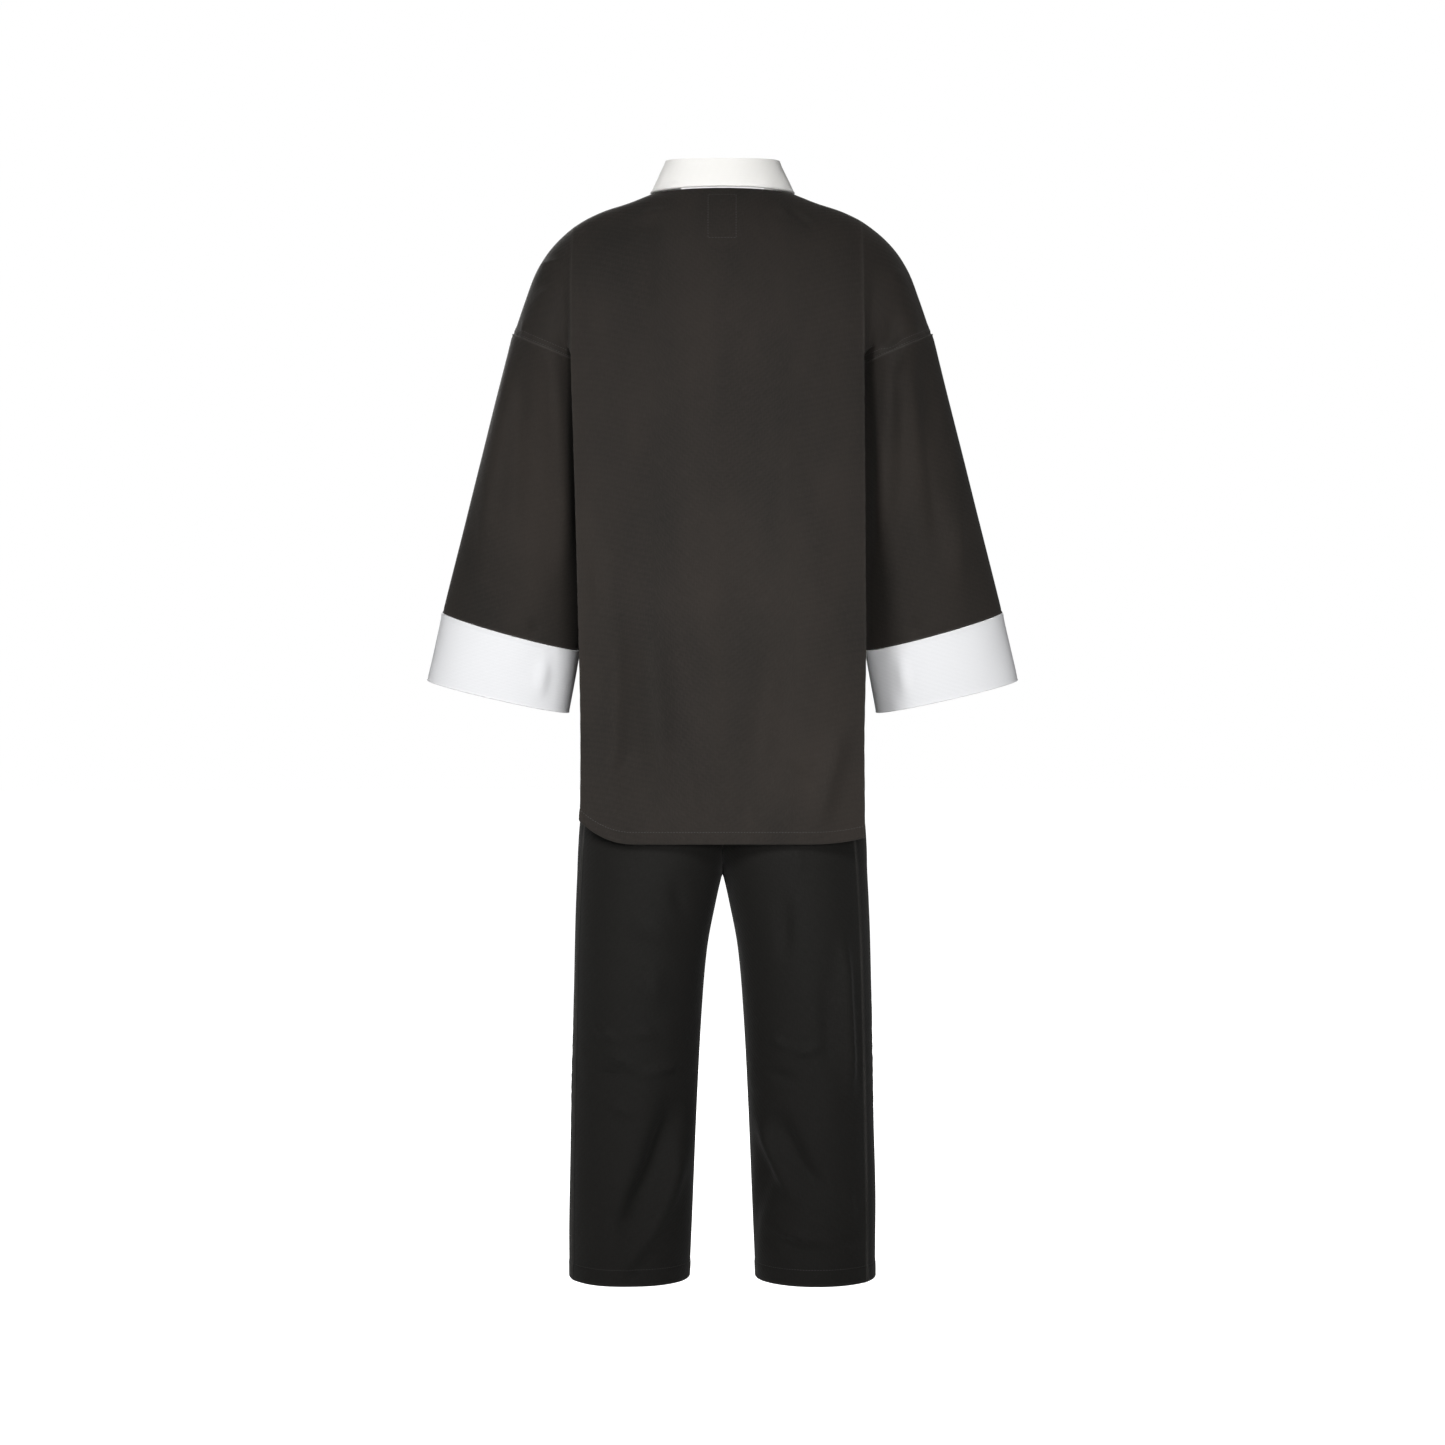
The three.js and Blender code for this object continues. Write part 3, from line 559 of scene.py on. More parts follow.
@dataclass(frozen=True)
class Crease:
    """Ridge or trough along a listed path, seen from behind or in front.

    Path points are X and Z in millimetres. A height below zero is a trough.
    """

    path: tuple[tuple[float, float], ...]
    width: float
    height: float
    taper: float = 0.5

    def height_at(self, x: Points, z: Points) -> Points:
        """Height of the crease over each place.

        Args:
            x: distance to the wearer's left.
            z: height.

        Returns:
            Height in millimetres along the cloth's own outward direction.
        """
        path = np.asarray(self.path, float)
        spans = np.diff(path, axis=0)
        lengths = np.linalg.norm(spans, axis=1)
        before = np.concatenate([[0], np.cumsum(lengths)])
        place = np.stack([x, z], axis=-1)
        nearest = np.full(x.shape, np.inf)
        along = np.zeros(x.shape)
        for start, span, length, offset in zip(path[:-1], spans, lengths, before):
            share = np.clip((place - start) @ span / length**2, 0, 1)
            away = np.linalg.norm(place - start - share[..., None] * span, axis=-1)
            along = np.where(away < nearest, (offset + share * length) / before[-1], along)
            nearest = np.minimum(nearest, away)
        rise = ease(along, 0, self.taper) * (1 - ease(along, 1 - self.taper, 1))
        return self.height * bump(nearest, self.width) * rise


CREASE_STRENGTH = 1.8

# Uneven swells of worn cloth: how long they are along X, Y and Z
BODY_SWELL = (60, 60, 130)
ARM_SWELL = (45, 45, 110)
CUFF_SWELL = (40, 40, 60)
COLLAR_SWELL = (26, 26, 26)
LEG_SWELL = (50, 50, 90)
KNEE_SWELL = (34, 34, 9)
KNEE_Z, KNEE_REACH = -1035.0, 70.0
# STREAK_SWELL sets the length of the lighter streak along the trousers' outer seam, along X, Y and Z.
STREAK_SWELL = (400, 400, 60)

# Puckers of the cloth along its stitches
HEM_PUCKER = (7, 7, 9)
SLEEVE_PUCKER = (9, 9, 16)
CUFF_PUCKER = (8, 8, 8)
COLLAR_PUCKER = (6, 6, 6)

BODY_CREASES = {
    "back": (
        Crease(((86, -470), (79, -602), (67, -736)), 19, 4.5, 0.4),
        Crease(((122, -485), (131, -753)), 13, -3.5, 0.35),
        Crease(((-58, -505), (-44, -648), (-53, -740)), 20, -4.5, 0.4),
        Crease(((-143, -620), (-123, -695), (-108, -765)), 13, 3.5, 0.35),
        Crease(((148, -400), (144, -525)), 7, 2.2),
        Crease(((50, -54), (74, -120), (97, -190)), 15, -3, 0.5),
        Crease(((-65, -662), (-92, -676), (-116, -697)), 4, 1.3),
        Crease(((-76, -681), (-108, -704)), 4, -1.2),
        Crease(((-73, -15), (-92, -30), (-112, -50)), 5, -1.8),
        Crease(((-60, -14), (-84, -36)), 4, 1.1),
        Crease(((120, -34), (80, -26), (38, -22)), 5, 1.4),
        Crease(((108, -48), (70, -38)), 5, -1.1),
        Crease(((155, -716), (97, -658)), 9, 2.4),
        Crease(((48, -640), (38, -700), (30, -762)), 8, 1.8),
        Crease(((-26, -690), (-34, -765)), 9, -2),
        Crease(((20, -250), (-10, -380)), 26, 1.8),
        Crease(((-100, -240), (-112, -400)), 22, -1.8),
        Crease(((112, -250), (106, -400)), 20, -1.6),
    ),
    "front": (
        Crease(((70, -470), (76, -610), (66, -740)), 18, 4, 0.4),
        Crease(((120, -500), (128, -750)), 14, -3.5, 0.4),
        Crease(((-72, -450), (-66, -600), (-80, -745)), 18, 4, 0.4),
        Crease(((-116, -520), (-124, -750)), 13, -3, 0.4),
        Crease(((62, -152), (90, -166), (130, -160)), 6, 1.6),
        Crease(((-62, -152), (-96, -170), (-134, -168)), 6, 1.6),
        Crease(((60, -238), (96, -262)), 5, -1.3),
        Crease(((-60, -324), (-100, -352)), 5, -1.3),
        Crease(((90, -40), (104, -120), (98, -200)), 13, -2.6),
        Crease(((-90, -40), (-108, -130), (-100, -210)), 13, -2.6),
        Crease(((28, -600), (20, -760)), 12, -2.5),
        Crease(((-28, -610), (-24, -762)), 12, -2.5),
    ),
}
ARM_CREASES = {
    "back": (
        Crease(((233, -170), (238, -270), (247, -387), (256, -480)), 14, 7.5, 0.35),
        Crease(((188, -195), (186, -339), (180, -505)), 10, -8, 0.3),
        Crease(((236, -140), (235, -168), (237, -215)), 4, 2.4),
        Crease(((229, -150), (228, -175), (230, -205)), 3, -1.6),
        Crease(((225, -165), (223, -215)), 3, 1.9),
        Crease(((217, -244), (222, -340), (223, -440)), 14, -5),
        Crease(((270, -330), (292, -470)), 12, -4.5),
        Crease(((233, -498), (228, -538)), 4, 3),
        Crease(((251, -482), (248, -530)), 5, -2.8),
        Crease(((208, -506), (204, -543)), 5, 3),
        Crease(((228, -84), (205, -86), (182, -84)), 5, 2.8),
        Crease(((230, -126), (206, -124), (184, -128)), 6, 3),
        Crease(((222, -104), (190, -106)), 6, -1.6),
        Crease(((-207, -120), (-199, -170), (-191, -268), (-184, -370)), 11, -7, 0.35),
        Crease(((-236, -130), (-241, -180), (-256, -268), (-259, -365)), 8, -4, 0.4),
        Crease(((-223, -160), (-228, -280), (-232, -380), (-247, -490)), 13, 4.5, 0.35),
        Crease(((-184, -400), (-190, -520)), 8, -5),
        Crease(((-195, -486), (-192, -534)), 4, 3.4),
        Crease(((-202, -492), (-200, -535)), 3.5, -3),
        Crease(((-209, -486), (-208, -532)), 4, 3.2),
        Crease(((-265, -460), (-268, -518)), 5, 3.2),
        Crease(((-289, -425), (-293, -508)), 6, 3.6),
        Crease(((-277, -450), (-281, -512)), 5, -3),
        Crease(((-190, -96), (-222, -100)), 6, 1.3),
    ),
    "front": (
        Crease(((236, -150), (244, -290), (252, -440)), 15, 4.5, 0.35),
        Crease(((200, -150), (196, -300), (190, -480)), 11, -6, 0.35),
        Crease(((270, -300), (288, -470)), 11, -3),
        Crease(((228, -500), (224, -538)), 5, 1.8),
        Crease(((-238, -150), (-246, -300), (-262, -470)), 15, 4.5, 0.35),
        Crease(((-202, -140), (-196, -290), (-192, -470)), 11, -6.5, 0.35),
        Crease(((-276, -340), (-286, -480)), 11, -3),
        Crease(((-232, -495), (-230, -536)), 5, 1.8),
    ),
}
CUFF_CREASES = {
    "back": (
        Crease(((192, -538), (195, -612)), 5, -2.6, 0.3),
        Crease(((202, -540), (206, -610)), 4, 1.2, 0.3),
        Crease(((218, -590), (209, -604)), 2.5, -1),
        Crease(((-192, -536), (-197, -610)), 4, 2.2, 0.3),
        Crease(((-202, -538), (-203, -612)), 5, -2, 0.3),
        Crease(((-290, -560), (-300, -592)), 16, 1.2),
    ),
    "front": (Crease(((214, -540), (222, -606)), 7, -2), Crease(((-214, -540), (-222, -606)), 7, -2)),
}
COLLAR_CREASES = {
    "back": (
        Crease(((-5, 37), (-30, 33), (-56, 29)), 3.5, -1.4),
        Crease(((40, 20), (58, 28)), 5, -0.9),
        Crease(((0, 12), (0, 36)), 2.0, -0.4),
    ),
    "front": (Crease(((-40, 2), (-62, 12)), 4, -0.9), Crease(((42, -2), (62, 14)), 4, -0.9)),
}
LEG_CREASES = {
    "back": (
        Crease(((52, -1050), (62, -1100), (79, -1153), (126, -1247)), 14, -7, 0.35),
        Crease(((44, -1120), (64, -1189), (97, -1261)), 10, 5, 0.35),
        Crease(((156, -985), (137, -993), (119, -1005)), 4, 2.8),
        Crease(((111, -994), (90, -992), (71, -1002)), 4, 2.7),
        Crease(((152, -1014), (120, -1024), (91, -1042)), 4.5, 3.4),
        Crease(((103, -1042), (70, -1036), (38, -1022)), 4.5, 3.3),
        Crease(((159, -1042), (111, -1038)), 4.5, -2.5),
        Crease(((144, -1071), (97, -1092)), 5, 2.6),
        Crease(((119, -860), (80, -870), (42, -896)), 12, 2.6),
        Crease(((83, -905), (79, -975)), 13, 2.4),
        Crease(((74, -1215), (100, -1250), (125, -1284)), 8, 4),
        Crease(((146, -1204), (97, -1230)), 6, -1.8),
        Crease(((60, -800), (40, -870)), 9, -2.4),
        Crease(((-141, -860), (-145, -965), (-152, -1090)), 7, 5, 0.3),
        Crease(((-39, -1086), (-62, -1142), (-91, -1200)), 8, 4.2, 0.35),
        Crease(((-56, -1075), (-91, -1147), (-128, -1190)), 11, -4.6, 0.35),
        Crease(((-46, -1221), (-104, -1236), (-171, -1243)), 5, 2.4, 0.3),
        Crease(((-48, -1236), (-115, -1255)), 7, -3.2),
        Crease(((-74, -812), (-71, -922)), 9, -3.4),
        Crease(((-51, -997), (-79, -1008)), 4, 2.9),
        Crease(((-73, -1015), (-100, -1013), (-126, -1006)), 4, 3),
        Crease(((-44, -1036), (-91, -1050)), 4.5, -2.6),
        Crease(((-85, -755), (-91, -815)), 6, 1.8),
        Crease(((-143, -1165), (-158, -1222)), 4, 1.8),
        Crease(((-121, -890), (-127, -1085)), 12, -3.4),
    ),
    "front": (
        Crease(((92, -800), (104, -960), (108, -1180)), 12, 3, 0.3),
        Crease(((-92, -800), (-104, -960), (-108, -1180)), 12, 3, 0.3),
        Crease(((60, -1000), (104, -1012), (150, -1000)), 5, 1.8),
        Crease(((-60, -1010), (-104, -1022), (-150, -1004)), 5, 1.8),
        Crease(((66, -1034), (120, -1046)), 5, -1.6),
        Crease(((-70, -1044), (-128, -1050)), 5, -1.6),
        Crease(((50, -1120), (90, -1220), (130, -1280)), 12, -4),
        Crease(((-52, -1110), (-96, -1200), (-128, -1282)), 12, -4),
    ),
}


def crease_height(creases: dict[str, tuple[Crease, ...]], points: Points, normals: Points) -> Points:
    """Height of the creases of both faces, each on the side that looks its way.

    Args:
        creases: creases by the word of their face.
        points: places on the cloth.
        normals: outward direction at each place.

    Returns:
        Height in millimetres.
    """
    total = np.zeros(len(points))
    for face in (BACK, FRONT):
        facing = ease(normals[:, 1] * face.sign, 0.05, 0.5)
        total += facing * sum(crease.height_at(points[:, 0], points[:, 2]) for crease in creases[face.word])
    return total * CREASE_STRENGTH


def hem_relief(away: Points, width: float, lift: float) -> Points:
    """Relief of a folded border, stitched at its width from the edge.

    Args:
        away: distance from the edge.
        width: distance from the edge to the stitches.
        lift: how far the folded cloth stands up.

    Returns:
        Height in millimetres.
    """
    fold = lift * ease(away, 0, 2) * (1 - ease(away, width - 1, width + 3))
    return fold - 0.7 * bump(away, 1.0) - 0.45 * bump(away - width, 1.3)


def inset(line: Points, inner: Points, distance: float) -> Points:
    """Line moved from an edge toward the points that lie further in."""
    way = inner - line
    return line + way / np.linalg.norm(way, axis=-1, keepdims=True) * distance


class Sheet:
    """Sheet of cloth made of grids of points that share the points where their borders meet."""

    MERGE = 0.02

    def __init__(self) -> None:
        """Starts with no points."""
        self.blocks: list[Points] = []
        self.quads: list[Points] = []
        self.corner_uvs: list[Points] = []
        self.count = 0

    def grid(self, points: Points, flip: bool, uv_start: tuple[float, float] = (0.0, 0.0)) -> None:
        """Adds a grid of points.

        Args:
            points: rows and columns of points in millimetres.
            flip: whether the faces are turned the other way round to point outwards.
            uv_start: where the grid starts on the cloth, in millimetres.
        """
        rows, columns = points.shape[:2]
        ids = self.count + np.arange(rows * columns).reshape(rows, columns)
        quad = np.stack([ids[:-1, :-1], ids[1:, :-1], ids[1:, 1:], ids[:-1, 1:]], axis=-1).reshape(-1, 4)
        across = np.zeros((rows, columns))
        down = np.zeros((rows, columns))
        across[:, 1:] = np.cumsum(np.linalg.norm(np.diff(points, axis=1), axis=2), axis=1)
        down[1:, :] = np.cumsum(np.linalg.norm(np.diff(points, axis=0), axis=2), axis=0)
        uv = np.stack([uv_start[0] + across, uv_start[1] - down], axis=-1).reshape(-1, 2)
        quad = quad[:, ::-1] if flip else quad
        self.blocks.append(points.reshape(-1, 3))
        self.quads.append(quad)
        self.corner_uvs.append(uv[quad - self.count])
        self.count += rows * columns

    def weld(self) -> None:
        """Joins the points of different grids that share a place, and drops faces with no area."""
        points = np.concatenate(self.blocks)
        quads = np.concatenate(self.quads)
        uvs = np.concatenate(self.corner_uvs)
        cells = np.round(points / self.MERGE).astype(np.int64)
        _, first, index = np.unique(cells, axis=0, return_index=True, return_inverse=True)
        index = index.reshape(-1)
        tree = kdtree.KDTree(len(first))
        for i, at in enumerate(points[first]):
            tree.insert(Vector(at), i)
        tree.balance()
        home = np.arange(len(first))
        for i, at in enumerate(points[first]):
            home[i] = min(found[1] for found in tree.find_range(Vector(at), self.MERGE * 2))
        keep, index2 = np.unique(home[home], return_inverse=True)
        self.points = points[first][keep]
        self.quads_welded = index2.reshape(-1)[index][quads]
        self.uvs = uvs

    def edges(self) -> tuple[Points, Points]:
        """All edges as point pairs, and how many faces use each."""
        q = self.quads_welded
        pairs = np.concatenate([q[:, [0, 1]], q[:, [1, 2]], q[:, [2, 3]], q[:, [3, 0]]])
        pairs = np.sort(pairs[pairs[:, 0] != pairs[:, 1]], axis=1)
        return np.unique(pairs, axis=0, return_counts=True)

    def normals(self) -> Points:
        """Outward direction at each point."""
        p, q = self.points, self.quads_welded
        face = np.cross(p[q[:, 2]] - p[q[:, 0]], p[q[:, 3]] - p[q[:, 1]])
        total = np.zeros_like(p)
        for corner in range(4):
            np.add.at(total, q[:, corner], face)
        return total / np.maximum(np.linalg.norm(total, axis=1, keepdims=True), 1e-12)

    def distance_to(self, targets: Points) -> Points:
        """Distance from each point to the nearest of some places."""
        tree = kdtree.KDTree(len(targets))
        for i, at in enumerate(targets):
            tree.insert(Vector(at), i)
        tree.balance()
        return np.array([tree.find(Vector(at))[2] for at in self.points])

    def border(self) -> Points:
        """Ids of the points on the open border."""
        pairs, uses = self.edges()
        return np.unique(pairs[uses == 1])

    def soften(self, weight: Points, rounds: int) -> None:
        """Rounds the sheet where weight is above zero, and leaves its border alone.

        Args:
            weight: from 0 to 1 for each point.
            rounds: how many times the points move toward their neighbours.
        """
        pairs, _ = self.edges()
        degree = np.bincount(pairs.reshape(-1), minlength=len(self.points))[:, None]
        held = np.zeros(len(self.points), bool)
        held[self.border()] = True
        amount = np.where(held, 0, weight)[:, None] * 0.5
        for _ in range(rounds):
            total = np.zeros_like(self.points)
            np.add.at(total, pairs[:, 0], self.points[pairs[:, 1]])
            np.add.at(total, pairs[:, 1], self.points[pairs[:, 0]])
            self.points = self.points + amount * (total / np.maximum(degree, 1) - self.points)

    def press(self, height: Points) -> None:
        """Moves each point along its outward direction by its height in millimetres."""
        self.points = self.points + self.normals() * np.asarray(height)[:, None]

    def mesh(self, name: str, wear_and_highlight: Points | None = None) -> bpy.types.Object:
        """Makes the Blender object.

        Args:
            name: name of the piece.
            wear_and_highlight: how far each point takes the pale edge colour, from 0 to 1: rubbed edges, and painted
                highlights along creases and seams.

        Returns:
            The object, an open sheet in metres.
        """
        data = bpy.data.meshes.new(name)
        faces, uvs = [], []
        for quad, uv in zip(self.quads_welded.tolist(), self.uvs):
            kept = [i for i in range(4) if quad[i] != quad[i - 1]]
            if len(set(quad)) >= 3 and len(kept) >= 3:
                faces.append([quad[i] for i in kept])
                uvs.extend(uv[i] for i in kept)
        data.from_pydata((self.points * MM).tolist(), [], faces)
        layer = data.uv_layers.new(name="cloth")
        layer.data.foreach_set("uv", (np.asarray(uvs) * MM).astype(np.float32).reshape(-1))
        values = np.zeros(len(self.points)) if wear_and_highlight is None else wear_and_highlight
        data.attributes.new("wear_and_highlight", "FLOAT", "POINT").data.foreach_set("value", values.astype(np.float32))
        data.validate()
        obj = bpy.data.objects.new(name, data)
        bpy.context.scene.collection.objects.link(obj)
        return obj


def deselect() -> None:
    """Leaves nothing selected or active."""
    for obj in bpy.context.view_layer.objects:
        obj.select_set(False)
    bpy.context.view_layer.objects.active = None


def activate(obj: bpy.types.Object) -> None:
    """Selects one object alone and makes it active."""
    deselect()
    obj.select_set(True)
    bpy.context.view_layer.objects.active = obj


def apply_modifier(obj: bpy.types.Object, kind: str, **settings: object) -> None:
    """Adds a modifier with its settings and applies it."""
    activate(obj)
    made = obj.modifiers.new(kind.title(), kind)
    for key, value in settings.items():
        setattr(made, key, value)
    bpy.ops.object.modifier_apply(modifier=made.name)


def thicken(obj: bpy.types.Object, thickness: float, edge: float = 0.0) -> None:
    """Gives a sheet its wall below its outer face, with softened edges.

    Args:
        obj: the open sheet.
        thickness: wall in millimetres.
        edge: radius of the rim in millimetres, or 0 for a plain rim.
    """
    apply_modifier(obj, "SOLIDIFY", thickness=thickness * MM, offset=-1.0, use_even_offset=False)
    if edge:
        apply_modifier(
            obj, "BEVEL", width=edge * MM, segments=2, limit_method="ANGLE",
            angle_limit=math.radians(55), use_clamp_overlap=True,
        )
    activate(obj)
    bpy.ops.object.shade_smooth_by_angle(angle=math.radians(50))


def face_outward(obj: bpy.types.Object, smooth: float) -> None:
    """Turns the faces of closed shells outward and smooths edges below an angle in degrees."""
    activate(obj)
    bpy.ops.object.mode_set(mode="EDIT")
    bpy.ops.mesh.select_all(action="SELECT")
    bpy.ops.mesh.normals_make_consistent(inside=False)
    bpy.ops.object.mode_set(mode="OBJECT")
    bpy.ops.object.shade_smooth_by_angle(angle=math.radians(smooth))


def finish_piece(obj: bpy.types.Object, slot: Slot, material: bpy.types.Material, *nodes: str) -> None:
    """Gives a piece its finish, its body, and the solids it stands for."""
    obj.data.materials.clear()
    obj.data.materials.append(material)
    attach(obj, "root")
    if nodes:
        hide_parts(*nodes)
    LOG.info("%s: %d faces", obj.name, len(obj.data.polygons))


def surface_noise(points: Points, scale: tuple[float, float, float], seed: float) -> Points:
    """Smooth fixed noise from -1 to 1 over points in millimetres."""
    offset = Vector((seed, seed * 1.7, seed * 0.3))
    return np.array([noise.noise(Vector((p[0] / scale[0], p[1] / scale[1], p[2] / scale[2])) + offset) for p in points])


def frame_on(tree: bvhtree.BVHTree, at: Points, way: Points) -> tuple[Vector, Vector, Vector, Vector]:
    """Nearest place on cloth to a point, and the directions along, across and out of the cloth there."""
    place, out, _, _ = tree.find_nearest(Vector(at))
    along = Vector(way)
    along = (along - out * along.dot(out)).normalized()
    return place, along, out.cross(along), out


@dataclass
class Stitching:
    """Rows of stitches laid on finished cloth. Sizes are in millimetres."""

    name: str
    sheets: Sequence[Sheet]
    pitch: float = 3.4
    length: float = 2.5
    width: float = 0.62
    rise: float = 0.34
    blocks: list[Points] = field(default_factory=list)

    def __post_init__(self) -> None:
        """Gathers the outer faces of the cloth to lay stitches on."""
        corners, faces, start = [], [], 0
        for sheet in self.sheets:
            corners.append(sheet.points)
            faces.append(sheet.quads_welded + start)
            start += len(sheet.points)
        self.tree = bvhtree.BVHTree.FromPolygons(np.concatenate(corners).tolist(), np.concatenate(faces).tolist())

    def row(self, path: Points) -> None:
        """Lays one row along a path, each stitch on the cloth nearest to it."""
        away = np.linalg.norm(np.diff(path, axis=0), axis=1)
        path = path[np.concatenate([[True], away > 1e-6])]
        reach = np.concatenate([[0], np.cumsum(away[away > 1e-6])])
        count = max(int(reach[-1] / self.pitch), 1)
        for middle in (np.arange(count) + 0.5) * reach[-1] / count:
            ends = [[np.interp(middle + part, reach, path[:, axis]) for axis in range(3)] for part in (-0.6, 0.6)]
            ends = np.array(ends)
            place, along, across, out = frame_on(self.tree, ends.mean(axis=0), ends[1] - ends[0])
            base = np.array([along, across, out]) * np.array([[self.length], [self.width], [self.rise]])
            self.blocks.append(np.array(place) + self._mound() @ base)

    def on_back(self, places: Points) -> Points:
        """Puts X and Z places on the outer face of the back."""
        path = []
        for x, z in places:
            place, _, _, _ = self.tree.ray_cast(Vector((x, 300, z)), Vector((0, -1, 0)))
            path.append(tuple(place))
        return np.array(path)

    @staticmethod
    def _mound() -> Points:
        """One stitch, a low mound of four rings with a point at each end, in fractions of its size."""
        rings = [
            (along, size * side, 0.55 * size * (1 + up) - 0.25)
            for along, size in ((-0.4, 0.6), (-0.15, 1.0), (0.15, 1.0), (0.4, 0.6))
            for side, up in ((-0.5, 0), (0, 1), (0.5, 0), (0, -1))
        ]
        return np.array([(-0.5, 0, -0.1), *rings, (0.5, 0, -0.1)])

    @staticmethod
    def _faces() -> list[tuple[int, ...]]:
        """Faces of one stitch: a fan at each end and quads between its four rings of four points."""
        last = 17
        ends = [(0, 1 + (i + 1) % 4, 1 + i) for i in range(4)] + [(last, 13 + i, 13 + (i + 1) % 4) for i in range(4)]
        sides = [
            (1 + 4 * r + i, 1 + 4 * r + (i + 1) % 4, 5 + 4 * r + (i + 1) % 4, 5 + 4 * r + i)
            for r in range(3)
            for i in range(4)
        ]
        return ends + sides

    def build(self, slot: Slot, material: bpy.types.Material) -> None:
        """Makes one piece of all the rows.

        Args:
            slot: finish of the record that the thread goes with; not used.
            material: the thread.
        """
        data = bpy.data.meshes.new(self.name)
        size = len(self._mound())
        faces = [tuple(i + size * n for i in face) for n in range(len(self.blocks)) for face in self._faces()]
        data.from_pydata((np.concatenate(self.blocks) * MM).tolist(), [], faces)
        data.validate()
        obj = bpy.data.objects.new(self.name, data)
        bpy.context.scene.collection.objects.link(obj)
        face_outward(obj, 70)
        finish_piece(obj, slot, material)


class Wire:
    """Socket of a shader node that can be used in Python sums."""

    def __init__(self, tree: "Shader", socket: bpy.types.NodeSocket) -> None:
        """Holds the socket and the shader that it is part of."""
        self.tree = tree
        self.socket = socket

    def _math(self, operation: str, first: object, second: object) -> "Wire":
        """Result of one Math node."""
        return self.tree.node("ShaderNodeMath", {"operation": operation}, {0: first, 1: second})[0]

    def __add__(self, other: object) -> "Wire":
        """Sum."""
        return self._math("ADD", self, other)

    def __radd__(self, other: object) -> "Wire":
        """Sum, reflected."""
        return self._math("ADD", other, self)

    def __mul__(self, other: object) -> "Wire":
        """Product."""
        return self._math("MULTIPLY", self, other)


class Shader:
    """Procedural material built from nodes."""

    def __init__(self, name: str) -> None:
        """Starts a material with its output and its main shader."""
        self.material = bpy.data.materials.new(name)
        self.material.use_nodes = True
        self.nodes = self.material.node_tree.nodes
        self.links = self.material.node_tree.links
        self.nodes.clear()
        self.output = self.nodes.new("ShaderNodeOutputMaterial")
        self.main = self.nodes.new("ShaderNodeBsdfPrincipled")
        self.links.new(self.main.outputs[0], self.output.inputs["Surface"])

    def node(self, kind: str, settings: dict | None = None, inputs: dict | None = None) -> list[Wire]:
        """Adds a node.

        Args:
            kind: type of the node.
            settings: its own properties, set first.
            inputs: values or wires of its sockets, by name or number.

        Returns:
            Its outputs.
        """
        made = self.nodes.new(kind)
        for key, value in (settings or {}).items():
            setattr(made, key, value)
        for key, value in (inputs or {}).items():
            self.put(made.inputs[key], value)
        return [Wire(self, socket) for socket in made.outputs if socket.enabled]

    def put(self, socket: bpy.types.NodeSocket, value: object) -> None:
        """Links a wire to a socket, or sets its value."""
        if isinstance(value, Wire):
            self.links.new(value.socket, socket)
        elif isinstance(value, tuple) and len(value) == 3 and len(socket.default_value) == 4:
            socket.default_value = (*value, 1)
        else:
            socket.default_value = value

    def surface(self, **inputs: object) -> None:
        """Sets sockets of the main shader; an underscore stands for a space."""
        for key, value in inputs.items():
            self.put(self.main.inputs[key.replace("_", " ")], value)

    def mix(self, share: object, first: object, second: object) -> Wire:
        """Mixes two colours."""
        return self.node("ShaderNodeMix", {"data_type": "RGBA"}, {0: share, 6: first, 7: second})[0]

    def spread(self, value: Wire, low: float, high: float, start: float = 0.0, end: float = 1.0) -> Wire:
        """Maps a value from one range to another, held at its ends."""
        sockets = {"Value": value, "From Min": low, "From Max": high, "To Min": start, "To Max": end}
        return self.node("ShaderNodeMapRange", None, sockets)[0]

    def grain(self, vector: Wire, scale: float, detail: float = 2.0, roughness: float = 0.5) -> Wire:
        """Noise from 0 to 1."""
        sockets = {"Vector": vector, "Scale": scale, "Detail": detail, "Roughness": roughness}
        return self.node("ShaderNodeTexNoise", None, sockets)[0]


